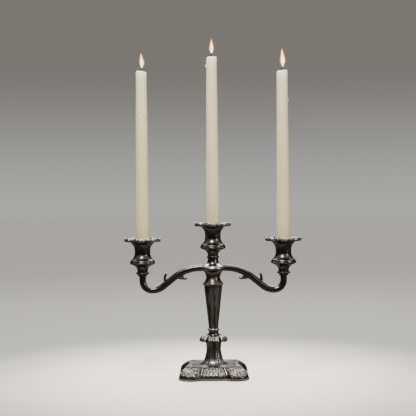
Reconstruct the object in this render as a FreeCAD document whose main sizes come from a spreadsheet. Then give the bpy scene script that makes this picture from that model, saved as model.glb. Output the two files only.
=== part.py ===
# A three-light tabletop candelabra: a candlestick and the branch that plugs into it.
#
# Millimetres, +Z up.  The origin is the middle of the base on the table, the stem
# stands on the Z axis and the two arms lie along X.  The driving sizes are in the
# spreadsheet "sizes"; every feature is bound to them with an expression.

import FreeCAD, Part
import math
import os

import Sketcher

SIZES = {
    # base, a square with a round lobe at each corner
    "base_across": 115.0,
    "side_recess": 6.3,
    "lobe_radius": 21.0,
    "rim_height": 3.2,
    "rim_width": 2.6,
    "rim_step": 1.0,
    "base_height": 19.0,
    "base_round": 14.8,
    "filling_middle_turn": 28.0,
    "filling_top_turn": 58.0,
    "notch_round": 2.0,
    "dish_radius": 34.4,
    "dish_flat_radius": 28.0,
    "dish_level": 16.8,
    "rise_radius": 26.0,
    "foot_seat_radius": 17.6,
    "foot_seat_level": 22.5,
    "sheet_gauge": 0.8,
    "baize_thickness": 0.6,
    "plate_thickness": 0.6,
    # rod that draws the stem together, with its nut and washer
    "rod_radius": 2.5,
    "rod_clearance": 0.2,
    "rod_overrun": 1.0,
    "rod_thread_depth": 3.0,
    "nut_flats": 8.0,
    "nut_height": 4.0,
    "nut_gap": 0.5,
    "washer_radius": 8.0,
    "washer_thickness": 1.0,
    "recess_clearance": 1.0,
    # stem, from the foot up
    "foot_top_radius": 12.4,
    "foot_height": 24.3,
    "foot_cuff": 4.8,
    "band_radius": 13.3,
    "band_height": 9.1,
    "band_groove": 1.0,
    "stem_bore": 7.0,
    "collar_radius": 23.2,
    "collar_height": 11.6,
    "collar_turn_under": 1.4,
    "collar_edge_height": 3.6,
    "collar_turn_in": 3.2,
    "collar_turn_height": 8.6,
    "neck_bottom_radius": 9.5,
    "neck_top_radius": 8.9,
    "neck_height": 7.0,
    "neck_ring_wall": 1.4,
    "neck_ring_height": 3.3,
    "column_bottom_radius": 8.1,
    "column_cuff": 4.5,
    "column_top_radius": 15.0,
    "column_height": 68.6,
    "shoulder_radius": 17.3,
    "shoulder_height": 19.9,
    "shoulder_cuff": 1.4,
    "shoulder_edge_height": 4.8,
    "throat_wall": 1.6,
    "lip_step": 1.1,
    "lip_height": 2.8,
    # socket of the candlestick and the spigot of the branch
    "socket_bore": 8.5,
    "socket_wall": 1.0,
    "socket_depth": 25.0,
    "socket_floor": 5.0,
    "spigot_fit": 0.05,
    "spigot_end_gap": 0.5,
    "spigot_wall": 1.4,
    "spigot_head": 5.0,
    # hub of the branch
    "bell_step": 0.2,
    "bell_height": 9.1,
    "hub_radius": 20.0,
    "hub_rim_height": 4.8,
    "hub_height": 10.1,
    "centre_neck_foot_radius": 10.6,
    "centre_neck_radius": 8.7,
    "centre_neck_height": 15.5,
    "centre_ring_radius": 9.7,
    "centre_ring_height": 4.0,
    "centre_ring_drop": 2.9,
    "ring_chamfer": 0.4,
    "stud_radius": 2.5,
    "stud_hold": 7.0,
    # arms, each a bent tube
    "arm_reach": 117.0,
    "arm_tube_radius": 5.45,
    "arm_wall": 1.05,
    "arm_root": 16.0,
    "arm_lead": 20.0,
    "arm_rise": 2.9,
    "arm_slope": 39.0,
    "crest_radius": 71.0,
    "dip_radius": 29.0,
    "hook_radius": 16.0,
    "side_drop": 25.2,
    # leaves soldered to the arms
    "leaf_thickness": 2.8,
    "leaf_sink": 0.5,
    "upper_leaf_share": 0.57,
    "upper_leaf_half_root": 2.4,
    "upper_leaf_height": 11.0,
    "lower_leaf_angle": 34.0,
    "lower_leaf_root": 3.6,
    "lower_leaf_length": 14.0,
    # ferrules that join the side arms to their sconces
    "ferrule_wall": 2.35,
    "ferrule_step_radius": 9.2,
    "ferrule_ring_radius": 10.3,
    "ferrule_height": 10.8,
    "ferrule_step_height": 1.6,
    "ferrule_ring_height": 2.9,
    "ferrule_socket": 3.0,
    # sconces
    "cup_seat_radius": 8.8,
    "cup_radius": 21.0,
    "cup_height": 12.0,
    "cup_edge": 1.7,
    "cup_turn_radius": 15.9,
    "cup_turn_height": 7.6,
    "vase_foot_radius": 20.5,
    "vase_turn_radius": 18.4,
    "vase_turn_height": 4.2,
    "vase_wall": 1.1,
    "vase_mouth_width": 7.0,
    "vase_height": 33.0,
    "vase_waist_low": 13.0,
    "vase_waist_high": 20.4,
    "vase_edge": 0.8,
    # nozzles that lift out of the sconces
    "nozzle_depth": 20.0,
    "nozzle_wall": 0.7,
    "nozzle_floor": 0.8,
    "nozzle_fit": 0.1,
    "nozzle_end_gap": 0.4,
    "pan_width": 8.0,
    "pan_rise": 2.5,
    "pan_thickness": 0.9,
    "nozzle_lip": 4.6,
    "border_width": 2.3,
    "border_drop": 1.8,
    "border_height": 4.8,
    # candles
    "candle_diameter": 22.3,
    "candle_tip_diameter": 17.4,
    "candle_fit": 0.05,
    "candle_butt": 25.0,
    "centre_candle_length": 301.2,
    "side_candle_length": 303.4,
    "candle_tip_round": 3.0,
    "wick_radius": 0.75,
    "wick_hole": 8.0,
    "wick_height": 6.5,
}

document = FreeCAD.newDocument("candelabra")
sheet = document.addObject("Spreadsheet::Sheet", "sizes")


class Size:
    """A number together with the spreadsheet expression that gives it."""

    def __init__(self, value, text):
        self.value = value
        self.text = text

    def __add__(self, other):
        return joined(self, "+", other, self.value + value_of(other))

    def __sub__(self, other):
        return joined(self, "-", other, self.value - value_of(other))

    def __mul__(self, other):
        return joined(self, "*", other, self.value * value_of(other))

    def __truediv__(self, other):
        return joined(self, "/", other, self.value / value_of(other))

    def __neg__(self):
        return self * -1.0


def value_of(number):
    """The plain number in a size or a constant."""
    return number.value if isinstance(number, Size) else float(number)


def text_of(number):
    """The expression text of a size or a constant."""
    return number.text if isinstance(number, Size) else f"({float(number)})"


def joined(left, sign, right, value):
    """The size that one arithmetic sign makes of two."""
    return Size(value, f"({text_of(left)} {sign} {text_of(right)})")


def sine(angle):
    return Size(math.sin(math.radians(angle.value)), f"sin({angle.text})")


def cosine(angle):
    return Size(math.cos(math.radians(angle.value)), f"cos({angle.text})")


def fill_sheet():
    """Write the driving sizes into the spreadsheet and hand them back by name."""
    named = {}
    for row, (alias, value) in enumerate(SIZES.items(), start=1):
        sheet.set(f"A{row}", alias)
        sheet.set(f"B{row}", str(value))
        sheet.setAlias(f"B{row}", alias)
        named[alias] = Size(value, f"sizes.{alias}")
    document.recompute()
    return named


s = fill_sheet()
ZERO = Size(0.0, "0.0")
RIGHT_ANGLE = Size(90.0, "90.0")

# How far an arc stands off its chord, as a share of the chord.
FAINT = 0.03
SLIGHT = 0.07
GENTLE = 0.12
MARKED = 0.15
FULL = 0.2
DEEP = 0.26
BEAD = 0.4

SIDES = (("left", -1.0), ("right", 1.0))
pieces = []


# Sketch and feature helpers ------------------------------------------------------


def new_body(name):
    body = document.addObject("PartDesign::Body", name)
    body.Label = name
    return body


def origin_plane(body, role):
    """One of the body's own origin planes, found by its role."""
    return next(item for item in body.Origin.OriginFeatures if item.Role == role)


def new_sketch(body, name, role, offset=None):
    """A sketch on an origin plane of the body, or a bound distance in front of it."""
    sketch = body.newObject("Sketcher::SketchObject", name)
    sketch.AttachmentSupport = [(origin_plane(body, role), "")]
    sketch.MapMode = "FlatFace"
    if offset is not None:
        sketch.setExpression(".AttachmentOffset.Base.z", text_of(offset))
    return sketch


def constrain(sketch, constraint, name, size):
    """Add a dimension and bind it to its expression."""
    index = sketch.addConstraint(constraint)
    sketch.renameConstraint(index, name)
    sketch.setExpression(f"Constraints.{name}", text_of(size))


def fix_point(sketch, geometry, end, name, across, up):
    """Tie one point of a sketch to a place across and up from the sketch's origin."""
    if value_of(across) == 0.0:
        sketch.addConstraint(Sketcher.Constraint("PointOnObject", geometry, end, -2))
    else:
        dimension = Sketcher.Constraint("DistanceX", -1, 1, geometry, end, value_of(across))
        constrain(sketch, dimension, f"{name}_across", across)
    if value_of(up) == 0.0 and text_of(up) == ZERO.text:
        sketch.addConstraint(Sketcher.Constraint("PointOnObject", geometry, end, -1))
    else:
        dimension = Sketcher.Constraint("DistanceY", -1, 1, geometry, end, value_of(up))
        constrain(sketch, dimension, f"{name}_up", up)


def vector(across, up):
    return FreeCAD.Vector(value_of(across), value_of(up), 0.0)


def belly(start, stop, bulge):
    """The middle point of an arc whose height is a share of the chord between its ends."""
    across = (start[0] + stop[0]) / 2.0 - (stop[1] - start[1]) * bulge
    up = (start[1] + stop[1]) / 2.0 + (stop[0] - start[0]) * bulge
    return across, up


def end_at(sketch, geometry, place):
    """Which end of an edge, 1 or 2, lies at the place."""
    first = sketch.getPoint(geometry, 1)
    second = sketch.getPoint(geometry, 2)
    return 1 if (first - place).Length < (second - place).Length else 2


def draw_outline(sketch, corners, closed=True):
    """Draw edges through the corners, each (across, up) or (across, up, bulge).

    The bulge belongs to the edge that leaves the corner: it is the height of the arc
    over its chord, positive on the left of the way the outline runs.
    """
    count = len(corners)
    ends = []
    for index in range(count if closed else count - 1):
        start = corners[index]
        stop = corners[(index + 1) % count]
        start_at, stop_at = vector(*start[:2]), vector(*stop[:2])
        if len(start) == 2:
            edge = sketch.addGeometry(Part.LineSegment(start_at, stop_at))
        else:
            middle = belly(start, stop, start[2])
            middle_at = vector(*middle)
            edge = sketch.addGeometry(Part.Arc(start_at, middle_at, stop_at))
            mark = sketch.addGeometry(Part.Point(middle_at), True)
            fix_point(sketch, mark, 1, f"belly{index}", *middle)
            sketch.addConstraint(Sketcher.Constraint("PointOnObject", mark, 1, edge))
        ends.append((edge, end_at(sketch, edge, start_at), end_at(sketch, edge, stop_at)))
        fix_point(sketch, edge, ends[-1][1], f"corner{index}", *start[:2])
    for index, (edge, _, last) in enumerate(ends):
        if closed or index + 1 < len(ends):
            following, first, _ = ends[(index + 1) % len(ends)]
            sketch.addConstraint(
                Sketcher.Constraint("Coincident", edge, last, following, first)
            )
    if not closed:
        edge, _, last = ends[-1]
        fix_point(sketch, edge, last, f"corner{count - 1}", *corners[-1][:2])


def draw_circle(sketch, name, across, up, radius):
    circle = sketch.addGeometry(
        Part.Circle(vector(across, up), FreeCAD.Vector(0, 0, 1), value_of(radius))
    )
    fix_point(sketch, circle, 3, name, across, up)
    dimension = Sketcher.Constraint("Radius", circle, value_of(radius))
    constrain(sketch, dimension, f"{name}_radius", radius)


def revolve(body, name, corners, kind="PartDesign::Revolution"):
    """Turn a section, given as (radius, height) corners, about the body's own axis."""
    sketch = new_sketch(body, f"{name}_section", "XZ_Plane")
    draw_outline(sketch, corners)
    feature = body.newObject(kind, name)
    feature.Profile = sketch
    feature.ReferenceAxis = (sketch, ["V_Axis"])
    feature.Angle = 360.0
    body.Tip = feature
    document.recompute()
    return feature


def extrude(body, sketch, name, length, kind="PartDesign::Pad", backwards=False):
    """Pad or pocket a sketch by a bound length."""
    feature = body.newObject(kind, name)
    feature.Profile = sketch
    feature.Reversed = backwards
    feature.setExpression("Length", text_of(length))
    body.Tip = feature
    document.recompute()
    return feature


def round_edges(body, name, base, chosen, radius):
    """Fillet the edges of a feature that the test picks out."""
    names = [
        f"Edge{number}"
        for number, edge in enumerate(base.Shape.Edges, start=1)
        if chosen(edge)
    ]
    fillet = body.newObject("PartDesign::Fillet", name)
    fillet.Base = (base, names)
    fillet.setExpression("Radius", text_of(radius))
    body.Tip = fillet
    document.recompute()
    return fillet


def place(piece, across, level):
    """Set a piece at its distance from the stem and its height over the table."""
    if text_of(across) != ZERO.text:
        piece.setExpression(".Placement.Base.x", text_of(across))
    if text_of(level) != ZERO.text:
        piece.setExpression(".Placement.Base.z", text_of(level))


def keep(piece, across=ZERO, level=ZERO):
    """Place a finished piece and list it for export."""
    place(piece, across, level)
    pieces.append(piece)
    return piece


def turned(name, corners, across=ZERO, level=ZERO):
    """A piece that is one turned section."""
    body = new_body(name)
    revolve(body, f"{name}_turning", corners)
    return keep(body, across, level)


def hollowed(outside, wall):
    """Close a section that is given by its outside with an inside one wall thinner."""
    inside = []
    for index in range(len(outside) - 1, -1, -1):
        radius, height = outside[index][:2]
        corner = [radius - wall, height]
        if index > 0 and len(outside[index - 1]) == 3:
            corner.append(outside[index - 1][2] * -1.0)
        inside.append(tuple(corner))
    return list(outside) + inside


# Levels over the table -----------------------------------------------------------

rod_bottom = s["baize_thickness"] + s["plate_thickness"] + s["nut_gap"]
nut_level = rod_bottom + s["rod_overrun"]
washer_level = nut_level + s["nut_height"]
recess_level = washer_level + s["washer_thickness"]
cavity_level = s["dish_level"] - s["sheet_gauge"]
band_level = s["foot_seat_level"] + s["foot_height"]
collar_level = band_level + s["band_height"]
neck_level = collar_level + s["collar_height"]
neck_ring_level = neck_level + s["neck_height"]
column_level = neck_ring_level + s["neck_ring_height"]
shoulder_level = column_level + s["column_height"]
bell_level = shoulder_level + s["shoulder_height"]
hub_level = bell_level + s["bell_height"]
arm_level = hub_level + s["arm_rise"]
centre_neck_level = hub_level + s["hub_height"]
centre_cup_level = centre_neck_level + s["centre_neck_height"]
side_cup_level = centre_cup_level - s["side_drop"]
ferrule_level = side_cup_level - s["ferrule_height"]

# Fits ----------------------------------------------------------------------------

candle_radius = s["candle_diameter"] / 2.0
nozzle_bore = candle_radius + s["candle_fit"]
nozzle_radius = nozzle_bore + s["nozzle_wall"]
sconce_bore = nozzle_radius + s["nozzle_fit"]
sconce_bore_depth = s["nozzle_depth"] + s["nozzle_end_gap"]
spigot_radius = s["socket_bore"] - s["spigot_fit"]
socket_radius = s["socket_bore"] + s["socket_wall"]
rod_hole = s["rod_radius"] + s["rod_clearance"]
throat_radius = socket_radius + s["throat_wall"]
lip_radius = throat_radius + s["lip_step"]
mouth_radius = sconce_bore + s["vase_mouth_width"]
pan_radius = mouth_radius + s["pan_width"]


# Base ----------------------------------------------------------------------------


def draw_square(sketch, half):
    """The four straight sides of the base, as one square."""
    draw_outline(sketch, [(-half, -half), (half, -half), (half, half), (-half, half)])


def lobed_block(body, name, inset, height, kind="PartDesign::Pad", backwards=False):
    """Pad or pocket the base's plan, the square and its four lobes, set in by an inset."""
    half = s["base_across"] / 2.0 - s["side_recess"] - inset
    middle = s["base_across"] / 2.0 - s["lobe_radius"]
    square = new_sketch(body, f"{name}_square", "XY_Plane")
    draw_square(square, half)
    extrude(body, square, f"{name}_sides", height, kind, backwards)
    lobes = new_sketch(body, f"{name}_circles", "XY_Plane")
    for number, (x_way, y_way) in enumerate(((1, 1), (-1, 1), (-1, -1), (1, -1))):
        draw_circle(
            lobes, f"lobe{number}", middle * x_way, middle * y_way, s["lobe_radius"] - inset
        )
    return extrude(body, lobes, f"{name}_lobes", height, kind, backwards)


def drill(body, name, radius, depth):
    """Bore a hole on the axis, upwards from the body's underside."""
    sketch = new_sketch(body, f"{name}_circle", "XY_Plane")
    draw_circle(sketch, "hole", ZERO, ZERO, radius)
    return extrude(body, sketch, name, depth, "PartDesign::Pocket", True)


def upright(edge):
    """True for a vertical edge."""
    box = edge.BoundBox
    return box.XLength < 1e-6 and box.YLength < 1e-6 and box.ZLength > 1e-6


def filling_steps():
    """Three steps under the round crest, as (name, inset, level), one sheet inside it."""
    start = s["base_height"] - s["base_round"]
    inner = s["base_round"] - s["sheet_gauge"]
    edge = s["base_round"] + s["rim_step"]
    middle_turn = s["filling_middle_turn"]
    return (
        ("low", s["rim_step"] + s["sheet_gauge"], start),
        ("middle", edge - inner * cosine(middle_turn), start + inner * sine(middle_turn)),
        ("top", edge - inner * cosine(s["filling_top_turn"]), cavity_level),
    )


def make_base_shell():
    """The stamped cover of the base: lobed wall, rounded crest, dished top, raised seat."""
    body = new_body("base_shell")
    height = s["base_height"] - s["rim_height"]
    floor = s["dish_level"] - s["rim_height"]
    seat = s["foot_seat_level"] - s["rim_height"]
    block = lobed_block(body, "shell_block", s["rim_step"], height)
    notched = round_edges(body, "shell_notches", block, upright, s["notch_round"])
    top = notched.Shape.BoundBox.ZMax
    round_edges(
        body,
        "shell_crest",
        notched,
        lambda edge: edge.BoundBox.ZMin > top - 1e-6,
        s["base_round"],
    )
    dish = [
        (ZERO, floor),
        (s["dish_flat_radius"], floor, -GENTLE),
        (s["dish_radius"], height),
        (s["dish_radius"], height + s["sheet_gauge"]),
        (ZERO, height + s["sheet_gauge"]),
    ]
    revolve(body, "shell_dish", dish, "PartDesign::Groove")
    rise = [
        (ZERO, floor),
        (s["rise_radius"], floor, GENTLE),
        (s["foot_seat_radius"], seat),
        (ZERO, seat),
    ]
    revolve(body, "shell_rise", rise)
    for name, inset, level in filling_steps():
        depth = level - s["rim_height"]
        lobed_block(body, f"shell_cavity_{name}", inset, depth, "PartDesign::Pocket", True)
    drill(body, "shell_rod_hole", rod_hole, seat)
    keep(body, level=s["rim_height"])


def make_base_rim():
    """The solid wire that the wall stands on."""
    body = new_body("base_rim")
    lobed_block(body, "rim_block", ZERO, s["rim_height"])
    lobed_block(body, "rim_inside", s["rim_width"], s["rim_height"], "PartDesign::Pocket", True)
    keep(body)


def make_base_filling():
    """The cement that weights the base, the plate that holds it in and the baize."""
    loading_level = s["baize_thickness"] + s["plate_thickness"]
    loading = new_body("base_loading")
    gap = s["rim_width"] - s["rim_step"] - s["sheet_gauge"]
    for name, inset, level in filling_steps():
        lobed_block(loading, f"loading_{name}", inset + gap, level - loading_level)
    recess = recess_level - loading_level
    drill(loading, "loading_recess", s["washer_radius"] + s["recess_clearance"], recess)
    drill(loading, "loading_rod_hole", rod_hole, cavity_level - loading_level)
    keep(loading, level=loading_level)
    plate = new_body("base_plate")
    lobed_block(plate, "plate_block", s["rim_width"], s["plate_thickness"])
    keep(plate, level=s["baize_thickness"])
    baize = new_body("baize_pad")
    lobed_block(baize, "baize_block", s["rim_width"], s["baize_thickness"])
    keep(baize)


def make_rod():
    """The rod up the stem, with a nut and washer under the cement."""
    top = bell_level - s["socket_depth"] - s["socket_floor"] + s["rod_thread_depth"]
    length = top - rod_bottom
    turned(
        "tie_rod",
        [(ZERO, ZERO), (s["rod_radius"], ZERO), (s["rod_radius"], length), (ZERO, length)],
        level=rod_bottom,
    )
    washer = [
        (rod_hole, ZERO),
        (s["washer_radius"], ZERO),
        (s["washer_radius"], s["washer_thickness"]),
        (rod_hole, s["washer_thickness"]),
    ]
    turned("rod_washer", washer, level=washer_level)
    nut = new_body("rod_nut")
    sketch = new_sketch(nut, "nut_hexagon", "XY_Plane")
    corner = s["nut_flats"] / 2.0 / math.cos(math.radians(30.0))
    turns = [math.radians(30.0 + 60.0 * side) for side in range(6)]
    draw_outline(sketch, [(corner * math.cos(turn), corner * math.sin(turn)) for turn in turns])
    draw_circle(sketch, "thread", ZERO, ZERO, s["rod_radius"])
    extrude(nut, sketch, "nut_block", s["nut_height"])
    keep(nut, level=nut_level)


# Stem ----------------------------------------------------------------------------


def make_stem():
    """Foot, band, leafy collar, neck, bead ring, column and shoulder."""
    gauge = s["sheet_gauge"]
    foot = [
        (s["foot_seat_radius"], ZERO, FAINT),
        (s["foot_top_radius"], s["foot_height"] - s["foot_cuff"]),
        (s["foot_top_radius"], s["foot_height"]),
    ]
    turned("foot", hollowed(foot, gauge), level=s["foot_seat_level"])
    bore = s["stem_bore"]
    band = [
        (bore, ZERO),
        (s["foot_top_radius"] - s["band_groove"] / 2.0, ZERO),
        (s["foot_top_radius"], s["band_groove"]),
        (s["foot_top_radius"], s["band_groove"] * 2.0, FAINT),
        (s["band_radius"], s["band_height"]),
        (bore, s["band_height"]),
    ]
    turned("foot_band", band, level=band_level)
    collar = [
        (bore, ZERO),
        (s["collar_radius"] - s["collar_turn_under"], ZERO, -FULL),
        (s["collar_radius"], s["collar_edge_height"], -GENTLE),
        (s["collar_radius"] - s["collar_turn_in"], s["collar_turn_height"], -FAINT),
        (s["neck_bottom_radius"], s["collar_height"]),
        (bore, s["collar_height"]),
    ]
    turned("collar", collar, level=collar_level)
    neck = [
        (bore, ZERO),
        (s["neck_bottom_radius"], ZERO, GENTLE),
        (s["neck_top_radius"], s["neck_height"]),
        (bore, s["neck_height"]),
    ]
    turned("neck", neck, level=neck_level)
    ring = [
        (bore, ZERO),
        (bore + s["neck_ring_wall"], ZERO, -BEAD),
        (bore + s["neck_ring_wall"], s["neck_ring_height"]),
        (bore, s["neck_ring_height"]),
    ]
    turned("neck_ring", ring, level=neck_ring_level)
    column = [
        (s["column_bottom_radius"], ZERO),
        (s["column_bottom_radius"], s["column_cuff"]),
        (s["column_top_radius"], s["column_height"]),
    ]
    turned("column", hollowed(column, gauge), level=column_level)
    throat_level = s["shoulder_height"] - s["lip_height"]
    edge_level = s["shoulder_edge_height"]
    shoulder = [
        (socket_radius, ZERO),
        (s["column_top_radius"], ZERO),
        (s["column_top_radius"], s["shoulder_cuff"], GENTLE),
        (s["shoulder_radius"], edge_level, -BEAD),
        (s["shoulder_radius"], edge_level + gauge, SLIGHT),
        (throat_radius, throat_level - gauge),
        (throat_radius, throat_level, -DEEP),
        (lip_radius, throat_level + gauge),
        (lip_radius, s["shoulder_height"]),
        (socket_radius, s["shoulder_height"]),
    ]
    turned("shoulder", shoulder, level=shoulder_level)


def make_socket():
    """The blind socket in the top of the candlestick, threaded on the rod from below."""
    floor = s["socket_floor"]
    top = s["socket_depth"] + floor
    socket = [
        (ZERO, s["rod_thread_depth"]),
        (s["rod_radius"], s["rod_thread_depth"]),
        (s["rod_radius"], ZERO),
        (socket_radius, ZERO),
        (socket_radius, top),
        (s["socket_bore"], top),
        (s["socket_bore"], floor),
        (ZERO, floor),
    ]
    turned("socket", socket, level=bell_level - top)


# Branch --------------------------------------------------------------------------


def make_spigot():
    """The thimble that plugs the branch into the socket."""
    length = s["socket_depth"] - s["spigot_end_gap"]
    top = length + s["spigot_head"]
    inside = spigot_radius - s["spigot_wall"]
    spigot = [
        (inside, ZERO),
        (spigot_radius, ZERO),
        (spigot_radius, top),
        (ZERO, top),
        (ZERO, top - s["spigot_wall"]),
        (inside, top - s["spigot_wall"]),
    ]
    turned("branch_spigot", spigot, level=bell_level - length)


def notch_for_arms(body, level):
    """Cut the two round seats that the arms are soldered into."""
    for side, way in SIDES:
        sketch = new_sketch(body, f"{body.Label}_seat_{side}", "YZ_Plane", s["arm_root"] * way)
        draw_circle(sketch, "arm", ZERO, arm_level - level, s["arm_tube_radius"])
        seat = body.newObject("PartDesign::Pocket", f"{body.Label}_arm_{side}")
        seat.Profile = sketch
        seat.Type = "ThroughAll"
        seat.Reversed = way > 0
        body.Tip = seat
        document.recompute()


def make_hub():
    """The bell under the hub, the hub itself and the neck of the middle light."""
    head = s["spigot_head"] + s["spigot_fit"]
    bell = new_body("hub_bell")
    bell_section = [
        (s["socket_bore"], ZERO),
        (lip_radius + s["bell_step"], ZERO, GENTLE),
        (s["hub_radius"], s["bell_height"]),
        (ZERO, s["bell_height"]),
        (ZERO, head),
        (s["socket_bore"], head),
    ]
    revolve(bell, "bell_turning", bell_section)
    notch_for_arms(bell, bell_level)
    keep(bell, level=bell_level)
    hub = new_body("hub")
    hub_section = [
        (ZERO, ZERO),
        (s["hub_radius"], ZERO, -MARKED),
        (s["hub_radius"], s["hub_rim_height"]),
        (s["centre_neck_foot_radius"], s["hub_height"]),
        (s["stud_radius"], s["hub_height"]),
        (s["stud_radius"], s["hub_height"] - s["stud_hold"]),
        (ZERO, s["hub_height"] - s["stud_hold"]),
    ]
    revolve(hub, "hub_turning", hub_section)
    notch_for_arms(hub, hub_level)
    keep(hub, level=hub_level)
    top = s["centre_neck_height"]
    ring_top = top - s["centre_ring_drop"]
    ring_bottom = ring_top - s["centre_ring_height"]
    neck = [
        (s["stud_radius"], ZERO),
        (s["centre_neck_foot_radius"], ZERO, SLIGHT),
        (s["centre_neck_radius"], ring_bottom - s["sheet_gauge"]),
        (s["centre_neck_radius"], ring_bottom),
        (s["centre_ring_radius"], ring_bottom + s["ring_chamfer"], -GENTLE),
        (s["centre_ring_radius"], ring_top - s["ring_chamfer"]),
        (s["centre_neck_radius"], ring_top),
        (s["cup_seat_radius"], top),
        (s["stud_radius"], top),
    ]
    turned("centre_neck", neck, level=centre_neck_level)


def arm_stations():
    """The corners of the arm's centre line, from the hub out, as (reach, level)."""
    along = cosine(s["arm_slope"])
    down = sine(s["arm_slope"])
    bends = s["crest_radius"] + s["dip_radius"]
    straight = (s["arm_reach"] - s["arm_lead"] - s["hook_radius"] - bends * down) / along
    crest_end = (
        s["arm_lead"] + s["crest_radius"] * down,
        arm_level - s["crest_radius"] + s["crest_radius"] * along,
    )
    dip_start = (crest_end[0] + straight * along, crest_end[1] - straight * down)
    dip_end = (
        s["arm_reach"] - s["hook_radius"],
        dip_start[1] - s["dip_radius"] + s["dip_radius"] * along,
    )
    hook_end = (s["arm_reach"], dip_end[1] + s["hook_radius"])
    return crest_end, dip_start, dip_end, hook_end


def arc_bulge(turn):
    """The height of an arc over its chord, as a share of it, for the angle it turns."""
    quarter = turn / 4.0
    return sine(quarter) / cosine(quarter) / 2.0


def make_arms():
    """The two bent tubes, each swept along straight runs joined by tangent arcs."""
    crest_end, dip_start, dip_end, hook_end = arm_stations()
    slope_bulge = arc_bulge(s["arm_slope"])
    hook_bulge = arc_bulge(RIGHT_ANGLE)
    top = ferrule_level + s["ferrule_socket"]
    arms = {}
    for side, way in SIDES:
        body = new_body(f"arm_{side}")
        path = new_sketch(body, f"arm_path_{side}", "XZ_Plane")
        route = [
            (s["arm_root"] * way, arm_level),
            (s["arm_lead"] * way, arm_level, slope_bulge * way),
            (crest_end[0] * way, crest_end[1]),
            (dip_start[0] * way, dip_start[1], slope_bulge * -way),
            (dip_end[0] * way, dip_end[1], hook_bulge * -way),
            (hook_end[0] * way, hook_end[1]),
            (s["arm_reach"] * way, top),
        ]
        draw_outline(path, route, closed=False)
        section = new_sketch(body, f"arm_section_{side}", "YZ_Plane", s["arm_root"] * way)
        draw_circle(section, "outside", ZERO, arm_level, s["arm_tube_radius"])
        bore = s["arm_tube_radius"] - s["arm_wall"]
        draw_circle(section, "bore", ZERO, arm_level, bore)
        document.recompute()
        sweep = body.newObject("PartDesign::AdditivePipe", f"arm_sweep_{side}")
        sweep.Profile = section
        edges = [f"Edge{number}" for number in range(1, len(path.Shape.Edges) + 1)]
        sweep.Spine = (path, edges)
        body.Tip = sweep
        document.recompute()
        arms[side] = keep(body)
    return arms


def make_leaf(name, arm, outline, way, across, level):
    """A flat curved leaf, its root cut to fit the tube that it is soldered to."""
    blank = new_body(f"{name}_blank")
    sketch = new_sketch(blank, f"{name}_outline", "XZ_Plane")
    corners = []
    for corner in outline:
        mirrored = [corner[0] * way, corner[1]]
        if len(corner) == 3:
            mirrored.append(corner[2] * way)
        corners.append(tuple(mirrored))
    draw_outline(sketch, corners)
    pad = extrude(blank, sketch, f"{name}_pad", s["leaf_thickness"])
    pad.Midplane = True
    place(blank, across * way, level)
    leaf = document.addObject("Part::Cut", name)
    leaf.Base = blank
    leaf.Tool = arm
    leaf.Label = name
    document.recompute()
    pieces.append(leaf)


def make_leaves(arms):
    """An upper leaf on the straight run of each arm and a lower one under its crest."""
    crest_end, dip_start = arm_stations()[:2]
    along = cosine(s["arm_slope"])
    down = sine(s["arm_slope"])
    share = s["upper_leaf_share"]
    station = [near + (far - near) * share for near, far in zip(crest_end, dip_start)]
    upper_across = station[0] + s["arm_tube_radius"] * down
    upper_level = station[1] + s["arm_tube_radius"] * along
    half = s["upper_leaf_half_root"]
    drop = half * down / along
    height = s["upper_leaf_height"]
    upper = [
        (-half, drop - s["leaf_sink"]),
        (half, -drop - s["leaf_sink"], -MARKED),
        (half / 2.0, height, FULL),
    ]
    inner_radius = s["crest_radius"] - s["arm_tube_radius"]
    tilt = sine(s["lower_leaf_angle"]) / cosine(s["lower_leaf_angle"])
    lower_across = s["arm_lead"] + inner_radius * sine(s["lower_leaf_angle"])
    lower_level = arm_level - s["crest_radius"] + inner_radius * cosine(s["lower_leaf_angle"])
    root = s["lower_leaf_root"]
    lower = [
        (ZERO, s["leaf_sink"], MARKED),
        (-s["lower_leaf_length"], s["leaf_sink"] * 2.0, -DEEP),
        (root, -root * tilt + s["leaf_sink"]),
    ]
    for side, way in SIDES:
        make_leaf(f"leaf_upper_{side}", arms[side], upper, way, upper_across, upper_level)
        make_leaf(f"leaf_lower_{side}", arms[side], lower, way, lower_across, lower_level)


# Sconces, nozzles and candles ----------------------------------------------------


def make_ferrules():
    """The stepped rings that carry the side sconces on the ends of the arms."""
    top = s["ferrule_height"]
    step = s["ferrule_step_height"]
    ring_bottom = step * 2.0 + s["ring_chamfer"]
    for side, way in SIDES:
        ferrule = [
            (s["arm_tube_radius"], ZERO),
            (s["arm_tube_radius"] + s["ferrule_wall"], ZERO),
            (s["arm_tube_radius"] + s["ferrule_wall"], step, FULL),
            (s["ferrule_step_radius"], step * 2.0),
            (s["ferrule_ring_radius"], ring_bottom, -BEAD),
            (s["ferrule_ring_radius"], ring_bottom + s["ferrule_ring_height"]),
            (s["cup_seat_radius"], ring_bottom + s["ferrule_ring_height"] + s["ring_chamfer"]),
            (s["cup_seat_radius"], top),
            (s["stud_radius"], top),
            (s["stud_radius"], s["ferrule_socket"]),
            (s["arm_tube_radius"], s["ferrule_socket"]),
        ]
        turned(f"ferrule_{side}", ferrule, s["arm_reach"] * way, ferrule_level)


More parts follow.
